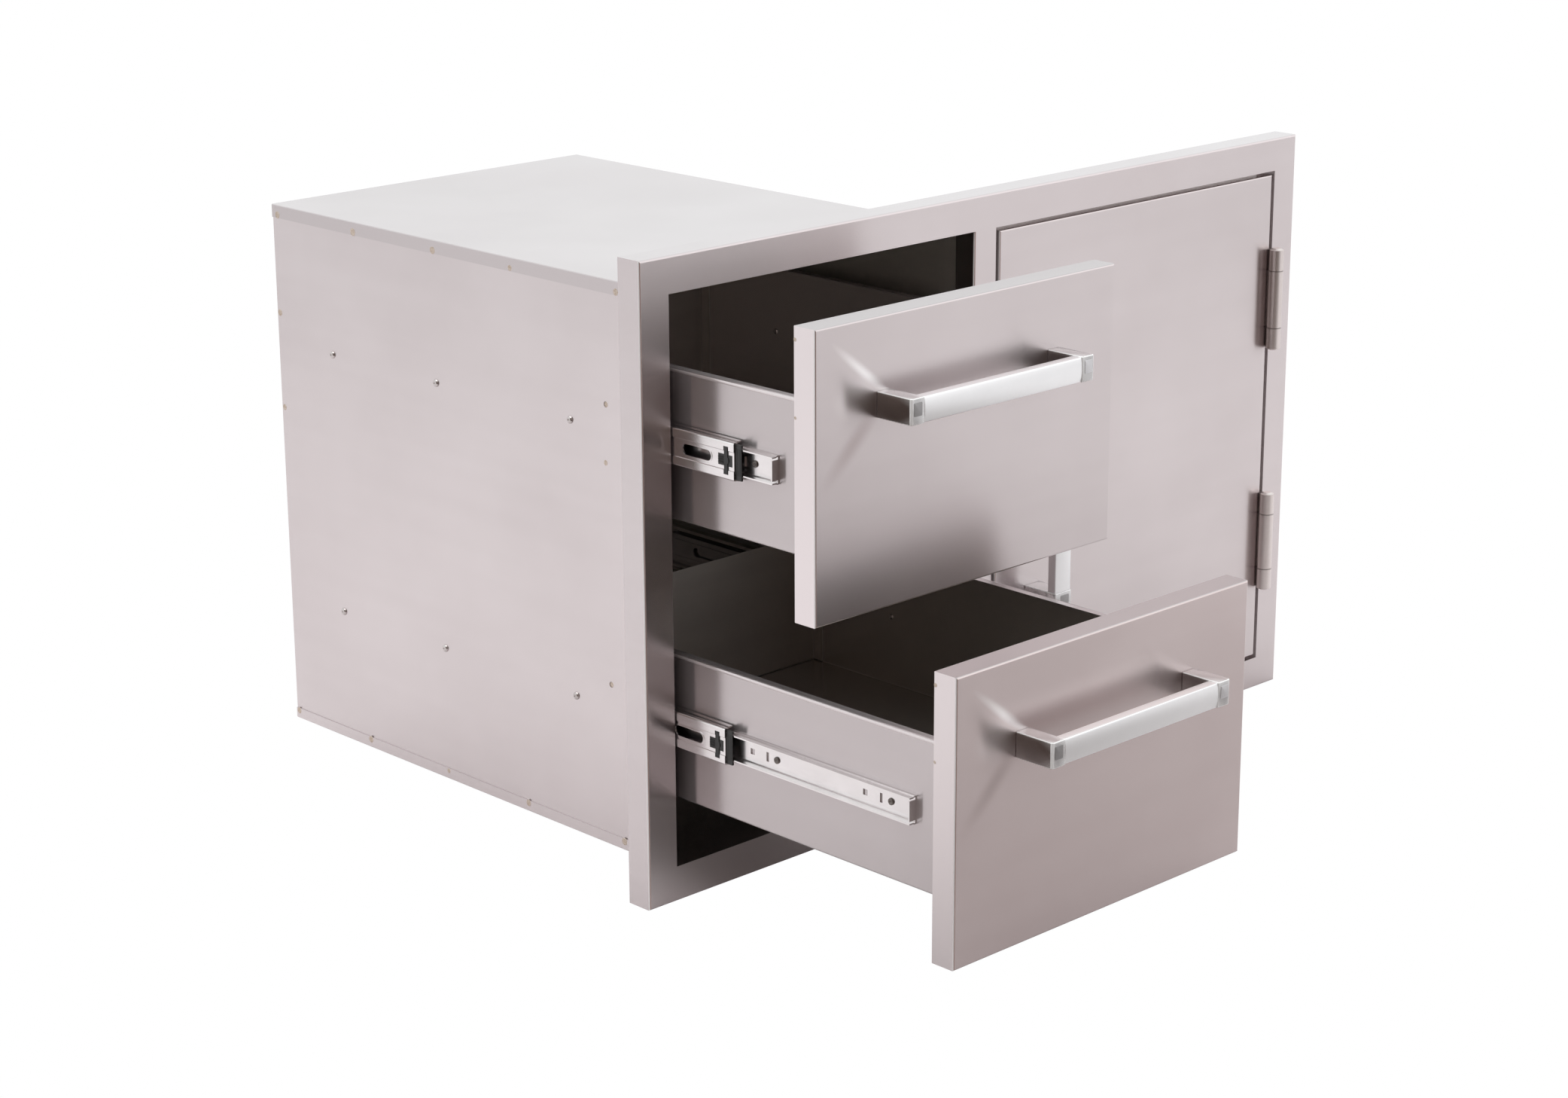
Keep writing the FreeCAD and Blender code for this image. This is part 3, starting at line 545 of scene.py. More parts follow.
def keep_piece(piece: bpy.types.Object, body: str, stands_for: Sequence[str] = ()) -> bpy.types.Object:
    """Make a finished piece ride on its body.

    Args:
        piece: the finished object, its place in its mesh.
        body: the body that it moves with.
        stands_for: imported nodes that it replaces.

    Returns:
        The same object.
    """
    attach(piece, body)
    if stands_for:
        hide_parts(*stands_for)
    log.info("%s: %d faces on %s", piece.name, len(piece.data.polygons), body)
    return piece


def new_object(name: str, mesh: bpy.types.Mesh) -> bpy.types.Object:
    """Return a new object with that mesh, in the scene."""
    made = bpy.data.objects.new(name, mesh)
    bpy.context.scene.collection.objects.link(made)
    return made


def baked(source: bpy.types.Object, name: str) -> bpy.types.Object:
    """Turn an object and its modifiers into one plain mesh object.

    Args:
        source: the object, which is removed.
        name: the name of the new object.

    Returns:
        The plain object.
    """
    graph = bpy.context.evaluated_depsgraph_get()
    mesh = bpy.data.meshes.new_from_object(source.evaluated_get(graph), depsgraph=graph)
    old = source.data
    bpy.data.objects.remove(source)
    if old.users == 0:
        bpy.data.meshes.remove(old)
    return new_object(name, mesh)


class Shaper:
    """Builds one mesh out of rounded blocks and swept outlines."""

    def __init__(self) -> None:
        """Start with an empty mesh."""
        self.mesh = bmesh.new()

    def prism(self, outline: Sequence[tuple[float, float]], low: float, high: float, place: Placing, round_by: float = 0.0) -> None:
        """Add a solid with one outline, its edges rounded.

        Args:
            outline: corners, in order round the outline.
            low: height of one end.
            high: height of the other end.
            place: turns outline coordinates and a height into a point of the frame.
            round_by: radius of the rounding along every edge.
        """
        part = bmesh.new()
        rings = [[part.verts.new(place(u, v, h)) for u, v in outline] for h in (low, high)]
        part.faces.new(rings[0])
        part.faces.new(rings[1])
        count = len(outline)
        for i in range(count):
            j = (i + 1) % count
            part.faces.new((rings[0][i], rings[0][j], rings[1][j], rings[1][i]))
        bmesh.ops.recalc_face_normals(part, faces=part.faces)
        if round_by > 0:
            sharp = [e for e in part.edges if e.calc_face_angle(0.0) > 0.6]
            bmesh.ops.bevel(part, geom=sharp, offset=round_by, segments=3, profile=0.5, affect="EDGES")
        self._absorb(part)

    def ring(self, rim: Sequence[tuple[float, float]], hole: Sequence[tuple[float, float]], low: float, high: float, place: Placing) -> None:
        """Add a flat ring between two outlines of as many points, its upper edges softly rounded."""
        part = bmesh.new()
        crest = low + 0.8 * (high - low)
        inner = [((9 * a + b) / 10, (9 * c + d) / 10) for (a, c), (b, d) in zip(rim, hole)]
        levels = [(rim, low), (rim, crest), (inner, high), (hole, high), (hole, low)]
        loops = [[part.verts.new(place(u, v, h)) for u, v in outline] for outline, h in levels]
        count = len(rim)
        for first, second in zip(loops, loops[1:] + loops[:1]):
            for i in range(count):
                j = (i + 1) % count
                part.faces.new((first[i], first[j], second[j], second[i]))
        bmesh.ops.recalc_face_normals(part, faces=part.faces)
        self._absorb(part)

    def _absorb(self, part: bmesh.types.BMesh) -> None:
        """Take a part's faces into the mesh."""
        holder = bpy.data.meshes.new("part")
        part.to_mesh(holder)
        part.free()
        self.mesh.from_mesh(holder)
        bpy.data.meshes.remove(holder)

    def finish(self, name: str, finish: Finish, smooth_angle: float = 32.0) -> bpy.types.Object:
        """Return the mesh as an object with a finish, shaded smooth up to an angle in degrees."""
        for face in self.mesh.faces:
            face.smooth = True
        for edge in self.mesh.edges:
            if len(edge.link_faces) != 2 or edge.calc_face_angle(0.0) > math.radians(smooth_angle):
                edge.smooth = False
        data = bpy.data.meshes.new(name)
        self.mesh.to_mesh(data)
        self.mesh.free()
        data.materials.append(Palette.get(finish))
        return new_object(name, data)


def rounded_outline(half_u: float, half_v: float, radii: Sequence[float], steps: int = 5) -> list[tuple[float, float]]:
    """Return a rectangle's outline with its corners rounded.

    Args:
        half_u: half its width.
        half_v: half its height.
        radii: radius of each corner, from lower left round to the right, or one for all.
        steps: pieces of each rounding.

    Returns:
        Points in order round the outline.
    """
    if len(radii) == 1:
        radii = list(radii) * 4
    points: list[tuple[float, float]] = []
    signs = ((-1, -1), (1, -1), (1, 1), (-1, 1))
    for index, ((su, sv), radius) in enumerate(zip(signs, radii)):
        cu, cv = su * (half_u - radius), sv * (half_v - radius)
        start = math.pi + index * math.pi / 2
        turns = range(steps + 1) if radius > 0 else range(1)
        for k in turns:
            a = start + k / steps * math.pi / 2
            points.append((cu + radius * math.cos(a), cv + radius * math.sin(a)))
    return points


# Fixings, scattered by Geometry Nodes


@dataclass(frozen=True)
class TurnedForm:
    """A small turned part: radius and height along its outline, each a share of its full size."""

    name: str
    outline: tuple[tuple[float, float], ...]
    sides: int = 20


DOME_HEAD = TurnedForm(
    "dome_head",
    ((1.0, 0.0), (0.99, 0.2), (0.93, 0.42), (0.8, 0.68), (0.6, 0.88), (0.36, 1.0), (0.3, 0.96), (0.24, 0.62), (0.0, 0.58)),
)
PAN_HEAD = TurnedForm(
    "pan_head",
    ((1.0, 0.0), (1.0, 0.45), (0.93, 0.8), (0.78, 1.0), (0.46, 1.0), (0.38, 0.88), (0.14, 0.4), (0.0, 0.36)),
)
RIVET_TAIL = TurnedForm(
    "rivet_tail",
    ((1.0, 0.0), (1.0, 0.1), (0.88, 0.3), (0.86, 0.82), (0.7, 1.0), (0.34, 1.0), (0.3, 0.7), (0.0, 0.7)),
)
WELD_DIMPLE = TurnedForm(
    "weld_dimple", ((1.0, 0.02), (0.86, 0.9), (0.7, 1.0), (0.5, 0.55), (0.22, 0.35), (0.0, 0.3)), 14
)
BALL_FORM = TurnedForm(
    "ball",
    tuple((math.sin(math.pi * k / 8), 0.5 - 0.5 * math.cos(math.pi * k / 8)) for k in range(9)),
    12,
)


class FixingTree:
    """Geometry Nodes tree that turns one form and sets it on points, facing where they say."""

    made: dict[str, bpy.types.NodeTree] = {}

    @classmethod
    def get(cls, form: TurnedForm) -> bpy.types.NodeTree:
        """Return the tree of a form, made once."""
        if form.name not in cls.made:
            cls.made[form.name] = cls(form).tree
        return cls.made[form.name]

    def __init__(self, form: TurnedForm) -> None:
        """Build the tree for a form."""
        self.tree = bpy.data.node_groups.new(f"{form.name}_row", "GeometryNodeTree")
        face = self.tree.interface
        face.new_socket("Points", in_out="INPUT", socket_type="NodeSocketGeometry")
        for name, value in (("Radius", 0.003), ("Height", 0.001), ("Size Variation", 0.0)):
            face.new_socket(name, in_out="INPUT", socket_type="NodeSocketFloat").default_value = value
        face.new_socket("Seed", in_out="INPUT", socket_type="NodeSocketInt").default_value = 7
        face.new_socket("Finish", in_out="INPUT", socket_type="NodeSocketMaterial")
        face.new_socket("Fixings", in_out="OUTPUT", socket_type="NodeSocketGeometry")
        self.entry = self._add("NodeGroupInput")
        turned = self._turned(form)
        placed = self._placed(turned)
        real = self._add("GeometryNodeRealizeInstances")
        paint = self._add("GeometryNodeSetMaterial")
        leave = self._add("NodeGroupOutput")
        self._join(placed, real.inputs[0])
        self._join(real.outputs[0], paint.inputs[0])
        self._join(self.entry.outputs["Finish"], paint.inputs["Material"])
        self._join(paint.outputs[0], leave.inputs[0])

    def _add(self, kind: str, **settings: object) -> bpy.types.Node:
        """Add a node with its settings."""
        node = self.tree.nodes.new(kind)
        for key, value in settings.items():
            setattr(node, key, value)
        return node

    def _join(self, source: bpy.types.NodeSocket, target: bpy.types.NodeSocket) -> None:
        """Link two sockets."""
        self.tree.links.new(source, target)

    def _calc(self, kind: str, first: object, second: object = 0.0) -> bpy.types.NodeSocket:
        """Return the result of one Math node."""
        node = self._add("ShaderNodeMath", operation=kind)
        for socket, value in zip(node.inputs, (first, second)):
            if isinstance(value, bpy.types.NodeSocket):
                self._join(value, socket)
            else:
                socket.default_value = value
        return node.outputs[0]

    def _outline_curve(self, values: Sequence[float], along: bpy.types.NodeSocket) -> bpy.types.NodeSocket:
        """Return a value read along the outline, straight between its points."""
        node = self._add("ShaderNodeFloatCurve")
        curve = node.mapping.curves[0]
        last = len(values) - 1
        while len(curve.points) < len(values):
            curve.points.new(0.5, 0.5)
        for index, (point, value) in enumerate(zip(curve.points, values)):
            point.location = (index / last, value)
            point.handle_type = "VECTOR"
        node.mapping.update()
        self._join(along, node.inputs["Value"])
        return node.outputs[0]

    def _turned(self, form: TurnedForm) -> bpy.types.NodeSocket:
        """Return the form as a turned mesh: a grid wrapped round Z and welded."""
        steps = len(form.outline)
        grid = self._add("GeometryNodeMeshGrid")
        for socket, value in zip(grid.inputs, (1.0, 1.0, form.sides + 1, steps)):
            socket.default_value = value
        spot = self._add("ShaderNodeSeparateXYZ")
        self._join(self._add("GeometryNodeInputPosition").outputs[0], spot.inputs[0])
        turn = self._calc("MULTIPLY", self._calc("ADD", spot.outputs[0], 0.5), math.tau)
        along = self._calc("ADD", spot.outputs[1], 0.5)
        radius = self._outline_curve([r for r, _ in form.outline], along)
        height = self._outline_curve([h for _, h in form.outline], along)
        radius = self._calc("MULTIPLY", radius, self.entry.outputs["Radius"])
        height = self._calc("MULTIPLY", height, self.entry.outputs["Height"])
        point = self._add("ShaderNodeCombineXYZ")
        self._join(self._calc("MULTIPLY", radius, self._calc("COSINE", turn)), point.inputs[0])
        self._join(self._calc("MULTIPLY", radius, self._calc("SINE", turn)), point.inputs[1])
        self._join(height, point.inputs[2])
        move = self._add("GeometryNodeSetPosition")
        self._join(grid.outputs[0], move.inputs["Geometry"])
        self._join(point.outputs[0], move.inputs["Position"])
        weld = self._add("GeometryNodeMergeByDistance")
        weld.inputs["Distance"].default_value = 0.000004
        self._join(move.outputs[0], weld.inputs[0])
        smooth = self._add("GeometryNodeSetShadeSmooth")
        self._join(weld.outputs[0], smooth.inputs[0])
        return smooth.outputs[0]

    def _placed(self, turned: bpy.types.NodeSocket) -> bpy.types.NodeSocket:
        """Return the form set on every point, its axis along the point's facing."""
        facing = self._add("GeometryNodeInputNamedAttribute", data_type="FLOAT_VECTOR")
        facing.inputs["Name"].default_value = "facing"
        align = self._add("FunctionNodeAlignRotationToVector", axis="Z")
        self._join(facing.outputs[0], align.inputs["Vector"])
        size = self._add("FunctionNodeRandomValue", data_type="FLOAT")
        low = self._calc("SUBTRACT", 1.0, self.entry.outputs["Size Variation"])
        high = self._calc("ADD", 1.0, self.entry.outputs["Size Variation"])
        self._join(low, size.inputs[2])
        self._join(high, size.inputs[3])
        self._join(self.entry.outputs["Seed"], size.inputs["Seed"])
        rows = self._add("GeometryNodeInstanceOnPoints")
        self._join(self.entry.outputs["Points"], rows.inputs["Points"])
        self._join(turned, rows.inputs["Instance"])
        self._join(align.outputs[0], rows.inputs["Rotation"])
        self._join(size.outputs[1], rows.inputs["Scale"])
        return rows.outputs[0]


@dataclass(frozen=True)
class FixingRow:
    """A set of equal small turned parts, each on its own spot."""

    name: str
    form: TurnedForm
    radius: float
    height: float
    finish: Finish
    spots: tuple[tuple[Point, Facing], ...]
    variation: float = 0.0
    seed: int = 7

    def build(self, body: str, slot: str) -> bpy.types.Object:
        """Scatter the row and make it ride on a body.

        Args:
            body: the body that it moves with.
            slot: not used.

        Returns:
            The finished piece, one plain mesh.
        """
        points = bpy.data.meshes.new("spots")
        points.from_pydata([p for p, _ in self.spots], [], [])
        facing = points.attributes.new("facing", "FLOAT_VECTOR", "POINT")
        for item, (_, look) in zip(facing.data, self.spots):
            item.vector = look.value
        holder = new_object("spots", points)
        scatter = holder.modifiers.new("fixings", "NODES")
        tree = FixingTree.get(self.form)
        inputs = {
            "Radius": self.radius,
            "Height": self.height,
            "Size Variation": self.variation,
            "Seed": self.seed,
            "Finish": Palette.get(self.finish),
        }
        scatter.node_group = tree
        for item in tree.interface.items_tree:
            if item.item_type == "SOCKET" and item.in_out == "INPUT" and item.name in inputs:
                scatter[item.identifier] = inputs[item.name]
        return keep_piece(baked(holder, self.name), body)


# Sub-assemblies


@dataclass
class Cladding:
    """Sheet work of the cabinet: face frame, mullion and the enclosure behind them."""

    body: str = "cabinet"
    rivet_radius: float = 3.4 * MM
    rivet_height: float = 2.1 * MM
    rivet_rows: tuple[float, ...] = (0.0966, 0.2755, 0.4252)
    slide_heights: tuple[float, ...] = (0.11965, -0.1226)
    weld_radius: float = 2.8 * MM
    member_sheet: float = 1.15 * MM
    wall_screw_y: float = 51.0 * MM
    wall_screw_rise: float = 21.1 * MM
    sheets: tuple[str, ...] = (
        "enclosure_left_side",
        "enclosure_bottom",
        "catch_tab",
    )

    def dress(self) -> None:
        """Give the sheets their finish."""
        for node in self.sheets:
            paint(node, Finish.SHEET)
        paint("face_frame", Finish.FRAME)
        paint("mullion", Finish.MULLION)
        # the enclosure's right wall and back, painted lighter inside
        for node in ("enclosure_right_side", "enclosure_back"):
            paint(node, Finish.BOX)
        paint("enclosure_top", Finish.COVER)

    def rivets(self) -> None:
        """Rivet the slides' outer members through both side walls."""
        heads: list[tuple[Point, Facing]] = []
        tails: list[tuple[Point, Facing]] = []
        for side, outward, inward in (("left", Facing.LEFT, Facing.RIGHT), ("right", Facing.RIGHT, Facing.LEFT)):
            low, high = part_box(f"enclosure_{side}_side")
            outer = low.x if side == "left" else high.x
            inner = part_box(f"upper_{side}_cabinet_slide")[0 if side == "left" else 1].x + inward.value[0] * self.member_sheet
            for y in self.rivet_rows:
                for z in self.slide_heights:
                    heads.append(((outer, y, z), outward))
                    tails.append(((inner, y, z), inward))
        FixingRow("slide_rivet_heads", DOME_HEAD, self.rivet_radius, self.rivet_height, Finish.RIVET, tuple(heads)).build(
            self.body, "zinc_plated_steel"
        )
        FixingRow("slide_rivet_tails", RIVET_TAIL, 2.9 * MM, 1.1 * MM, Finish.RIVET, tuple(tails)).build(
            self.body, "zinc_plated_steel"
        )

    def wall_screws(self) -> None:
        """Screw the frame's flange to the left wall: the tips show in the wall's front holes."""
        low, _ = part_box("enclosure_left_side")
        spots = tuple(((low.x + 0.5 * MM, self.wall_screw_y, z + self.wall_screw_rise), Facing.LEFT) for z in self.slide_heights)
        FixingRow("wall_screw_tips", DOME_HEAD, 2.4 * MM, 0.4 * MM, Finish.WELD, spots).build(self.body, "zinc_plated_steel")

    def weld_marks(self) -> None:
        """Mark the spot welds along the covers' lips, the back and the frame's return."""
        low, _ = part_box("enclosure_left_side")
        top_low, top_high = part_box("enclosure_top")
        base_low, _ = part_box("enclosure_bottom")
        spots: list[tuple[Point, Facing]] = []
        for y in (0.035, 0.169, 0.273, 0.386, 0.499):
            spots.append(((top_low.x, y, 0.237), Facing.LEFT))
        for y in (0.037, 0.164, 0.276, 0.391, 0.503):
            spots.append(((base_low.x, y, -0.2385), Facing.LEFT))
        for y, z in ((0.5035, 0.146), (0.5035, 0.057), (0.0525, 0.091)):
            spots.append(((low.x, y, z), Facing.LEFT))
        FixingRow(
            "spot_weld_marks", WELD_DIMPLE, self.weld_radius, 0.16 * MM, Finish.WELD, tuple(spots), 0.3, 11
        ).build(self.body, "brushed_stainless")

    def build(self) -> None:
        """Build and dress the whole sub-assembly."""
        self.dress()
        self.rivets()
        self.wall_screws()
        self.weld_marks()


@dataclass
class Slides:
    """One drawer's pair of ball-bearing slides."""

    prefix: str
    pitch: float = 128.0 * MM
    first_screw: float = 25.5 * MM
    rear_screw: float = 350.0 * MM
    screw_radius: float = 3.0 * MM
    screw_height: float = 1.3 * MM
    cross_reach: tuple[float, float] = (2.0 * MM, 18.5 * MM)
    cross_rise: float = 11.5 * MM
    recess: float = 0.6 * MM
    access: tuple[float, float, float] = (26.5 * MM, 60.5 * MM, 4.5 * MM)
    arm_half: float = 4.75 * MM
    bar_half: float = 2.75 * MM
    lever_at: float = 9.0 * MM
    cage_length: float = 230.0 * MM
    ball_pitch: float = 14.0 * MM
    ball_line: float = 5.05 * MM

    def dress(self) -> None:
        """Plate the members and mould the ball retainers."""
        for side in ("left", "right"):
            for member in ("cabinet", "mid", "drawer"):
                paint(f"{self.prefix}_{side}_{member}_slide", Finish.ZINC)
        paint(f"{self.prefix}_ball_cages", Finish.PLASTIC)

    def screws(self) -> None:
        """Screw the drawer members to the drawer's sides."""
        heads: list[tuple[Point, Facing]] = []
        tips: list[tuple[Point, Facing]] = []
        for side, look in (("left", Facing.LEFT), ("right", Facing.RIGHT)):
            low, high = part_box(f"{self.prefix}_{side}_drawer_slide")
            sign = look.value[0]
            web = (high.x if look is Facing.LEFT else low.x) + sign * 1.15 * MM
            inside = (high.x + MM) if look is Facing.LEFT else (low.x - MM)
            centre = (low.z + high.z) / 2
            for reach in (self.first_screw, self.first_screw + self.pitch, self.rear_screw):
                y = low.y + reach
                heads.append(((web, y, centre), look))
                tips.append(((inside, y, centre), Facing.RIGHT if look is Facing.LEFT else Facing.LEFT))
        body = f"{self.prefix}_drawer"
        FixingRow(
            f"{self.prefix}_slide_screws", PAN_HEAD, self.screw_radius, self.screw_height, Finish.SCREW, tuple(heads)
        ).build(body, "zinc_plated_steel")
        FixingRow(f"{self.prefix}_screw_tips", DOME_HEAD, 2.6 * MM, 1.6 * MM, Finish.RIVET, tuple(tips)).build(
            body, "zinc_plated_steel"
        )

    def wall_side(self, side: str) -> tuple[Placing, float]:
        """Return the map on to a middle member's web as seen from the wall, and the member's front end.

        The map takes a distance along from the member's front end, a height from its middle line and a height
        above the web's recessed face.
        """
        low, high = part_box(f"{self.prefix}_{side}_mid_slide")
        sign = -1.0 if side == "left" else 1.0
        face = (low.x if side == "left" else high.x) - sign * self.recess
        centre = (low.z + high.z) / 2
        return lambda u, v, h: (face + sign * h, low.y + u, centre + v)

    def latches(self) -> None:
        """Set the black release lever in the cross of each middle member, and ribs on the retainers' noses."""
        shaper = Shaper()
        for side in ("left", "right"):
            place = self.wall_side(side)
            shaper.prism(self.cross(0.3 * MM), -1.6 * MM, 0.2 * MM, place, 0.2 * MM)
            bar = [(self.lever_at + u, v) for u, v in rounded_outline(2.1 * MM, 10.7 * MM, (0.9 * MM,), 4)]
            shaper.prism(bar, 0.1 * MM, 0.9 * MM, place, 0.25 * MM)
            boss = [(self.lever_at - 0.4 * MM + u, v) for u, v in rounded_outline(3.0 * MM, 3.0 * MM, (2.9 * MM,), 7)]
            shaper.prism(boss, 0.1 * MM, 1.0 * MM, place, 0.3 * MM)
            for k in range(4):
                for v in (-2.1 * MM, 0.0, 2.1 * MM):
                    tooth = [(13.2 * MM + k * 1.45 * MM + a, v + b) for a, b in rounded_outline(0.5 * MM, 0.7 * MM, (0.25 * MM,), 2)]
                    shaper.prism(tooth, 0.1 * MM, 0.75 * MM, place, 0.15 * MM)
            for k in range(2):
                rib = [(-2.4 * MM - k * 2.6 * MM + a, b) for a, b in rounded_outline(0.6 * MM, 11.0 * MM, (0.3 * MM,), 3)]
                shaper.prism(rib, -1.3 * MM, -0.85 * MM, place, 0.15 * MM)
        keep_piece(shaper.finish(f"{self.prefix}_release_levers", Finish.PLASTIC), f"{self.prefix}_slide_mids")

    def slot_rims(self) -> None:
        """Roll a bright rim round each middle member's front access slot."""
        shaper = Shaper()
        start, stop, half = self.access
        for side in ("left", "right"):
            place = self.wall_side(side)
            mid, reach = (start + stop) / 2, (stop - start) / 2
            rim = [(mid + u, v) for u, v in rounded_outline(reach + 1.1 * MM, half + 1.1 * MM, (half + 1.05 * MM,), 8)]
            hole = [(mid + u, v) for u, v in rounded_outline(reach, half, (half - 0.05 * MM,), 8)]
            shaper.ring(rim, hole, 0.0, 0.35 * MM, place)
        keep_piece(shaper.finish(f"{self.prefix}_slot_rims", Finish.ZINC), f"{self.prefix}_slide_mids")

    def cross(self, inset: float) -> list[tuple[float, float]]:
        """Return the outline of the release lever's cross, drawn in by a margin."""
        u0, u1 = self.cross_reach[0] + inset, self.cross_reach[1] - inset
        a, b = self.lever_at - self.bar_half + inset, self.lever_at + self.bar_half - inset
        v, w = self.arm_half - inset, self.cross_rise - inset
        return [(u0, -v), (a, -v), (a, -w), (b, -w), (b, -v), (u1, -v), (u1, v), (b, v), (b, w), (a, w), (a, v), (u0, v)]

    def balls(self) -> None:
        """Fill the ball retainers with their rows of balls."""
        low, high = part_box(f"{self.prefix}_ball_cages")
        mid_low, mid_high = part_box(f"{self.prefix}_left_mid_slide")
        centre = (mid_low.z + mid_high.z) / 2
        start = mid_low.y + (mid_high.y - mid_low.y - self.cage_length) / 2
        count = int(self.cage_length / self.ball_pitch)
        wall_left, wall_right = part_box(f"{self.prefix}_left_cabinet_slide")[0].x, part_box(f"{self.prefix}_right_cabinet_slide")[1].x
        for name, radius, rise in (("outer", 2.2 * MM, 18.5 * MM), ("inner", 1.2 * MM, 13.4 * MM)):
            spots: list[tuple[Point, Facing]] = []
            for wall, look in ((wall_left, Facing.RIGHT), (wall_right, Facing.LEFT)):
                x = wall + look.value[0] * self.ball_line
                for k in range(count):
                    y = start + (k + 0.5) * self.ball_pitch
                    for z in (centre - rise, centre + rise):
                        spots.append(((x - look.value[0] * radius, y, z), look))
            FixingRow(f"{self.prefix}_{name}_balls", BALL_FORM, radius, 2 * radius, Finish.BALL, tuple(spots)).build(
                f"{self.prefix}_slide_mids", "zinc_plated_steel"
            )

    def build(self) -> None:
        """Build and dress both slides."""
        self.dress()
        self.screws()
        self.latches()
        self.slot_rims()
        self.balls()


@dataclass
class Handle:
    """A bar handle on two chrome end blocks."""

    prefix: str
    ends: tuple[str, str]
    body: str
    upright: bool = False
    edge: float = 0.9 * MM
    corner: float = 2.4 * MM
    cap_proud: float = 0.25 * MM
    cap_margin: float = 0.5 * MM
    cap_width: float = 9.0 * MM
    cap_height: float = 11.0 * MM
    cap_rise: float = 1.7 * MM

    def placing(self) -> Placing:
        """Return the map from along, out of the panel and across to the frame's axes."""
        if self.upright:
            return lambda along, out, across: (across, out, along)
        return lambda along, out, across: (along, out, across)

    def spans(self, node: str) -> tuple[tuple[float, float], tuple[float, float], tuple[float, float]]:
        """Return a node's spans along the bar, out of the panel and across the bar."""
        low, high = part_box(node)
        x, y, z = ((low[i], high[i]) for i in range(3))
        return (z, y, x) if self.upright else (x, y, z)

    def post(self, end: str) -> None:
        """Form one end block: flat sides, its outer front corner well rounded, and a bare raised cap in front."""
        node = f"{self.prefix}_{end}_post"
        along, out, across = self.spans(node)
        grip_along, _, _ = self.spans(f"{self.prefix}_grip")
        place = self.placing()
        outer_first = along[0] < grip_along[0]
        shaper = Shaper()
        front = out[0] + self.cap_proud
        half = ((along[1] - along[0]) / 2, (out[1] - front) / 2)
        centre = ((along[1] + along[0]) / 2, (out[1] + front) / 2)
        radii = (self.corner, 0.0, 0.0, 0.0) if outer_first else (0.0, self.corner, 0.0, 0.0)
        outline = [(centre[0] + u, centre[1] + v) for u, v in rounded_outline(*half, radii, 6)]
        shaper.prism(outline, across[0], across[1], lambda u, v, h: place(u, v, h), self.edge)
        block = shaper.finish(f"{node}_block", Finish.POST)
        keep_piece(block, self.body, [node])
        self.cap(node, along, front, across, outer_first)

    def cap(self, node: str, along: tuple[float, float], front: float, across: tuple[float, float], outer_first: bool) -> None:
        """Set the small plain plate in its rim on an end block's front."""
        place = self.placing()
        margin = self.cap_margin
        start = along[0] + self.corner + margin if outer_first else along[1] - self.corner - margin - self.cap_width
        half_u, half_v = self.cap_width / 2, self.cap_height / 2
        centre = (start + half_u, (across[0] + across[1]) / 2 + self.cap_rise)
        shaper = Shaper()
        plate = [(centre[0] + u, centre[1] + v) for u, v in rounded_outline(half_u, half_v, (0.8 * MM,), 4)]
        shaper.prism(plate, front + 0.2 * MM, front - self.cap_proud, lambda u, v, h: place(u, h, v), 0.1 * MM)
        # painted light and shade: the first end's plate takes the shaded copy, the other end's the lit copy
        finish = Finish.CAP_PAINTED_SHADE if outer_first else Finish.CAP_PAINTED_LIT
        keep_piece(shaper.finish(f"{node}_plate", finish), self.body)

    def bar(self) -> None:
        """Form the grip: a satin bar with a crowned front and soft edges."""
        node = f"{self.prefix}_grip"
        along, out, across = self.spans(node)
        place = self.placing()
        half = (across[1] - across[0]) / 2
        centre = (across[1] + across[0]) / 2
        crown = 0.9 * MM
        outline: list[tuple[float, float]] = []
        steps = 14
        for k in range(steps + 1):
            t = -1 + 2 * k / steps
            outline.append((out[0] + crown * t * t, centre + half * t))
        for k in range(steps + 1):
            t = 1 - 2 * k / steps
            outline.append((out[1] - crown * t * t, centre + half * t))
        shaper = Shaper()
        shaper.prism(outline, along[0], along[1], lambda u, v, h: place(h, u, v), 0.5 * MM)
        bar = shaper.finish(f"{node}_bar", Finish.GRIP)
        keep_piece(bar, self.body, [node])

    def build(self) -> None:
        """Build the bar and both end blocks."""
        self.bar()
        for end in self.ends:
            self.post(end)


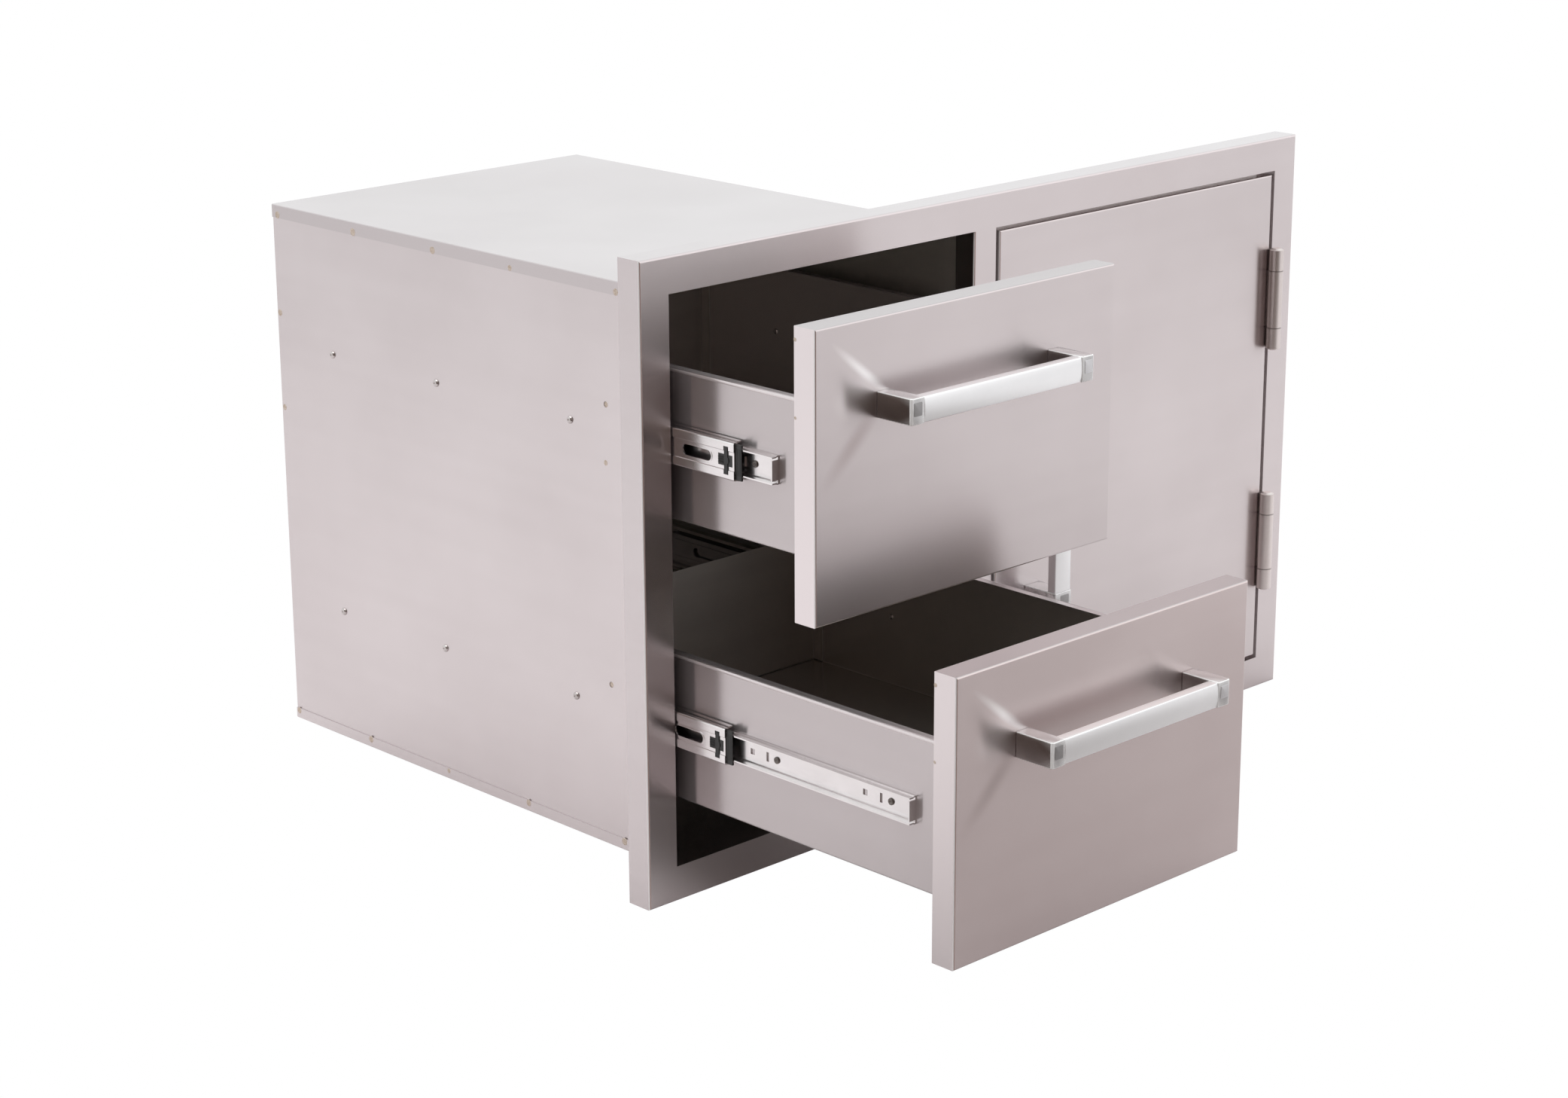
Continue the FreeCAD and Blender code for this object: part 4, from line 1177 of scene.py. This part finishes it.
@dataclass
class Drawer:
    """A drawer: its front panel, its tray, its slides and its handle."""

    prefix: str
    front: Finish
    liner: Finish
    sheet_finish: Finish
    hem_height: float = 3.0 * MM
    hem_proud: float = 0.45 * MM
    sheet: float = 1.0 * MM
    seam_rises: tuple[float, ...] = (166.0 * MM, 228.0 * MM)

    def hems(self) -> None:
        """Roll a soft hem along the top of both side walls."""
        low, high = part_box(f"{self.prefix}_tray")
        shaper = Shaper()
        steps = 8
        for wall, sign in ((low.x, -1.0), (high.x, 1.0)):
            outline = [(wall - sign * 0.3 * MM, high.z - self.hem_height), (wall - sign * 0.3 * MM, high.z - 0.5 * MM)]
            for k in range(steps + 1):
                t = k / steps
                proud = self.hem_proud * math.sin(math.pi * min(1.0, 0.12 + 0.88 * t)) ** 0.7
                outline.append((wall + sign * proud, high.z - 0.35 * MM - t * (self.hem_height - 0.35 * MM)))
            shaper.prism(outline, low.y + self.sheet, high.y, lambda u, v, h: (u, h, v))
        # the hems take a finish painted lighter as a highlight
        keep_piece(shaper.finish(f"{self.prefix}_side_hems", Finish.HEM_PAINTED_LIT, 50.0), f"{self.prefix}_drawer")

    def front_screws(self) -> None:
        """Screw the front panel to the tray's front wall, heads inside."""
        low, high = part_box(f"{self.prefix}_tray")
        y = low.y + self.sheet
        spots = tuple(
            ((x, y, z), Facing.BACK)
            for x in (low.x + 0.045, low.x + 0.12, high.x - 0.12, high.x - 0.045)
            for z in (low.z + 0.03, high.z - 0.03)
        )
        handle: list[tuple[Point, Facing]] = []
        for end in ("left", "right"):
            post_low, post_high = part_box(f"{self.prefix}_{end}_post")
            handle.append((((post_low.x + post_high.x) / 2, y, (post_low.z + post_high.z) / 2), Facing.BACK))
        for name, radius, row in (("front", 3.8 * MM, spots), ("handle", 4.4 * MM, tuple(handle))):
            FixingRow(f"{self.prefix}_{name}_screws", PAN_HEAD, radius, radius / 2, Finish.RIVET, row).build(
                f"{self.prefix}_drawer", "zinc_plated_steel"
            )

    def seam_marks(self) -> None:
        """Mark the spot welds that close the front panel, low on its left and right rear edges."""
        low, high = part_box(f"{self.prefix}_front_skin")
        spots = tuple(
            ((x, high.y - 1.2 * MM, low.z + rise), look)
            for x, look in ((low.x, Facing.LEFT), (high.x, Facing.RIGHT))
            for rise in self.seam_rises
        )
        FixingRow(f"{self.prefix}_seam_marks", WELD_DIMPLE, 1.3 * MM, 0.1 * MM, Finish.WELD, spots, 0.3, 5).build(
            f"{self.prefix}_drawer", "brushed_stainless"
        )

    def build(self) -> None:
        """Build and dress the drawer."""
        paint(f"{self.prefix}_front_skin", self.front)
        paint(f"{self.prefix}_tray", self.sheet_finish)
        paint(f"{self.prefix}_front_liner", self.liner)
        # tray back in the painted-shade finish
        paint(f"{self.prefix}_tray_back", Finish.INNER_PAINTED_SHADE)
        self.hems()
        self.seam_marks()
        self.front_screws()
        Slides(self.prefix).build()
        Handle(self.prefix, ("left", "right"), f"{self.prefix}_drawer").build()


@dataclass
class Door:
    """The door with its hinges, handle and catch."""

    body: str = "door"

    def build(self) -> None:
        """Build and dress the door."""
        paint("door_skin", Finish.DOOR)
        for part in ("door_liner", "striker_plate"):
            paint(part, Finish.SHEET)
        for name in ("lower", "upper"):
            for leaf in ("frame", "door"):
                paint(f"{name}_hinge_{leaf}_leaf", Finish.HINGE)
        paint("hinge_pins", Finish.HINGE)
        paint("catch_housing", Finish.PLASTIC)
        paint("catch_magnet", Finish.FERRITE)
        Handle("door", ("lower", "upper"), self.body, upright=True).build()
        self.screws()

    def screws(self) -> None:
        """Fix the handle, the striker and the catch."""
        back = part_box("door_liner")[1].y
        handle: list[tuple[Point, Facing]] = []
        for end in ("lower", "upper"):
            low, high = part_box(f"door_{end}_post")
            handle.append((((low.x + high.x) / 2, back, (low.z + high.z) / 2), Facing.BACK))
        FixingRow("door_handle_screws", PAN_HEAD, 4.4 * MM, 2.2 * MM, Finish.RIVET, tuple(handle)).build(
            self.body, "zinc_plated_steel"
        )
        low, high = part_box("striker_plate")
        centre = (low.x + high.x) / 2
        striker = tuple(((centre, high.y, z), Facing.BACK) for z in (low.z + 0.006, high.z - 0.006))
        FixingRow("striker_screws", PAN_HEAD, 2.6 * MM, 0.9 * MM, Finish.RIVET, striker).build(self.body, "zinc_plated_steel")
        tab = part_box("catch_tab")[0]
        low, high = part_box("catch_housing")
        depth = (low.y + high.y) / 2
        catch = tuple(((tab.x, depth, z), Facing.LEFT) for z in (low.z + 0.008, high.z - 0.008))
        FixingRow("catch_screws", PAN_HEAD, 3.0 * MM, 1.5 * MM, Finish.RIVET, catch).build("cabinet", "zinc_plated_steel")


def paint(node: str, finish: Finish) -> None:
    """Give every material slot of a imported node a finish."""
    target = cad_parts[node]
    material = Palette.get(finish)
    if not target.material_slots:
        target.data.materials.append(material)
    for held in target.material_slots:
        held.material = material
    log.info("%s: %s", node, material.name)


# Studio


@dataclass(frozen=True)
class CameraRig:
    """The camera at the photograph's place."""

    place: Point = (-2.0765, -1.9099, 0.7948)
    heading: float = 0.7664
    dip: float = 0.2927
    roll: float = -0.0045
    lens: float = 74.72
    sensor: float = 36.0

    def build(self) -> None:
        """Make the camera and give it to the scene."""
        data = bpy.data.cameras.new("camera")
        data.lens = self.lens
        data.sensor_width = self.sensor
        data.clip_start = 0.05
        data.clip_end = 60.0
        camera = bpy.data.objects.new("camera", data)
        bpy.context.scene.collection.objects.link(camera)
        turn = (
            Matrix.Rotation(-self.heading, 4, "Z")
            @ Matrix.Rotation(math.pi / 2 - self.dip, 4, "X")
            @ Matrix.Rotation(self.roll, 4, "Z")
        )
        camera.matrix_world = Matrix.Translation(self.place) @ turn
        bpy.context.scene.camera = camera


@dataclass(frozen=True)
class Softbox:
    """A square lamp with a soft cloth."""

    name: str
    place: Point
    aim: Point
    width: float
    height: float
    power: float

    def build(self) -> None:
        """Make the lamp."""
        data = bpy.data.lights.new(self.name, "AREA")
        data.shape = "RECTANGLE"
        data.size = self.width
        data.size_y = self.height
        data.energy = self.power
        lamp = bpy.data.objects.new(self.name, data)
        bpy.context.scene.collection.objects.link(lamp)
        look = Vector(self.aim) - Vector(self.place)
        lamp.matrix_world = Matrix.Translation(self.place) @ look.to_track_quat("-Z", "Y").to_matrix().to_4x4()


@dataclass(frozen=True)
class Studio:
    """A white room, open and dim on one side, over a white floor with a painted shade in front of the unit."""

    floor_drop: float = 0.275
    floor_half: float = 14.0
    sky: Colour = (1.12, 1.18, 1.185)
    glow: Colour = (0.22, 0.17, 0.17)
    paper: Colour = (0.77, 0.74, 0.745)
    dim: Colour = (0.27, 0.222, 0.198)
    # floor_painted_shade and the falloff fields give the floor's painted shade: its colour, and how it falls along X
    # and towards the front
    floor_painted_shade: Colour = (0.088, 0.066, 0.056)
    dim_side: tuple[float, float] = (-0.69, -0.72)
    bright_side: tuple[float, float] = (0.69, -0.72)
    falloff: tuple[tuple[float, float], ...] = ((-0.6, 1.0), (-0.35, 0.74), (0.0, 0.6), (0.35, 0.5), (0.6, 0.25), (0.8, 0.1), (1.2, 0.0))
    falloff_span: tuple[float, float] = (-1.0, 1.5)
    falloff_back: tuple[float, float] = (0.15, -0.9)
    lamps: tuple[Softbox, ...] = (
        Softbox("top_softbox", (-0.6, 0.3, 2.6), (0.0, 0.1, 0.0), 2.4, 2.0, 38.0),
    )

    def _lobe(self, wiring: "StudioWiring", direction: bpy.types.NodeSocket, side: tuple[float, float]) -> bpy.types.NodeSocket:
        """Return 1 towards a side of the room and 0 away from it."""
        dot = wiring.add("ShaderNodeVectorMath", operation="DOT_PRODUCT")
        wiring.link(direction, dot.inputs[0])
        dot.inputs[1].default_value = (*side, 0.0)
        return wiring.ramp(dot.outputs["Value"], 0.45, 0.85)

    def room(self) -> None:
        """Light the room from all sides but the dim one; the camera sees it plain white."""
        world = bpy.data.worlds.new("studio")
        bpy.context.scene.world = world
        world.use_nodes = True
        wiring = StudioWiring(world.node_tree)
        direction = wiring.add("ShaderNodeTexCoord").outputs["Generated"]
        lit = wiring.mix(self._lobe(wiring, direction, self.bright_side), self.sky, tuple(a + b for a, b in zip(self.sky, self.glow)))
        colour = wiring.mix(self._lobe(wiring, direction, self.dim_side), lit, self.dim)
        seen = wiring.add("ShaderNodeLightPath").outputs["Is Camera Ray"]
        back = wiring.add("ShaderNodeBackground")
        wiring.link(wiring.mix(seen, colour, (1.0, 1.0, 1.0)), back.inputs["Color"])
        wiring.link(back.outputs[0], wiring.add("ShaderNodeOutputWorld").inputs["Surface"])

    def floor(self) -> None:
        """Lay the floor: plain white to the camera, and for all other rays a painted shade in front of the unit,
        strongest to its left.
        """
        material = bpy.data.materials.new("paper_floor")
        material.use_nodes = True
        wiring = StudioWiring(material.node_tree)
        place = wiring.add("ShaderNodeTexCoord").outputs["Object"]
        spot = wiring.add("ShaderNodeSeparateXYZ")
        wiring.link(place, spot.inputs[0])
        across = wiring.ramp(spot.outputs[0], *self.falloff_span, smooth=False)
        fall = wiring.add("ShaderNodeFloatCurve")
        low, high = self.falloff_span
        curve = fall.mapping.curves[0]
        while len(curve.points) < len(self.falloff):
            curve.points.new(0.5, 0.5)
        for point, (x, value) in zip(curve.points, self.falloff):
            point.location = ((x - low) / (high - low), value)
        fall.mapping.update()
        wiring.link(across, fall.inputs["Value"])
        share = wiring.add("ShaderNodeMath", operation="MULTIPLY")
        wiring.link(fall.outputs[0], share.inputs[0])
        wiring.link(wiring.ramp(spot.outputs[1], *self.falloff_back), share.inputs[1])
        share = share.outputs[0]
        paper = wiring.add("ShaderNodeBsdfDiffuse")
        wiring.link(wiring.mix(share, self.paper, self.floor_painted_shade), paper.inputs["Color"])
        white = wiring.add("ShaderNodeEmission")
        white.inputs["Color"].default_value = (1.0, 1.0, 1.0, 1.0)
        seen = wiring.add("ShaderNodeMixShader")
        wiring.link(wiring.add("ShaderNodeLightPath").outputs["Is Camera Ray"], seen.inputs[0])
        wiring.link(paper.outputs[0], seen.inputs[1])
        wiring.link(white.outputs[0], seen.inputs[2])
        wiring.link(seen.outputs[0], wiring.add("ShaderNodeOutputMaterial").inputs["Surface"])
        mesh = bpy.data.meshes.new("floor")
        half, z = self.floor_half, -self.floor_drop
        mesh.from_pydata([(-half, -half, z), (half, -half, z), (half, half, z), (-half, half, z)], [], [(0, 1, 2, 3)])
        mesh.materials.append(material)
        new_object("floor", mesh)

    def build(self) -> None:
        """Make the room, the floor and the lamps."""
        self.room()
        self.floor()
        for lamp in self.lamps:
            lamp.build()
        view = bpy.context.scene.view_settings
        view.view_transform = "Standard"
        view.look = "None"


class StudioWiring:
    """Node tree of the room or the floor."""

    def __init__(self, tree: bpy.types.NodeTree) -> None:
        """Clear the tree."""
        self.tree = tree
        tree.nodes.clear()

    def add(self, kind: str, **settings: object) -> bpy.types.Node:
        """Add a node with its settings."""
        node = self.tree.nodes.new(kind)
        for key, value in settings.items():
            setattr(node, key, value)
        return node

    def link(self, source: bpy.types.NodeSocket, target: bpy.types.NodeSocket) -> None:
        """Link two sockets."""
        self.tree.links.new(source, target)

    def ramp(self, value: bpy.types.NodeSocket, low: float, high: float, smooth: bool = True) -> bpy.types.NodeSocket:
        """Return 0 at one value and 1 at another."""
        node = self.add("ShaderNodeMapRange", interpolation_type="SMOOTHSTEP" if smooth else "LINEAR")
        self.link(value, node.inputs[0])
        node.inputs[1].default_value = low
        node.inputs[2].default_value = high
        return node.outputs[0]

    def mix(self, factor: bpy.types.NodeSocket, first: object, second: object) -> bpy.types.NodeSocket:
        """Return the mix of two colours, each a socket or three numbers."""
        node = self.add("ShaderNodeMix", data_type="RGBA")
        self.link(factor, node.inputs[0])
        for socket, value in zip((node.inputs[6], node.inputs[7]), (first, second)):
            if isinstance(value, bpy.types.NodeSocket):
                self.link(value, socket)
            else:
                socket.default_value = (*value, 1.0)
        return node.outputs[2]


def main() -> None:
    """Build the camera, every sub-assembly and the studio."""
    logging.basicConfig(level=logging.INFO, format="%(message)s")
    CameraRig().build()
    Cladding().build()
    Drawer("upper", Finish.FRONT_UP, Finish.LINER_PAINTED_LIT, Finish.TRAY_UP).build()
    Drawer("lower", Finish.FRONT_LOW, Finish.LINER_LOW_PAINTED_SHADE, Finish.TRAY_LOW).build()
    Door().build()
    Studio().build()


if __name__ == "__main__":
    main()
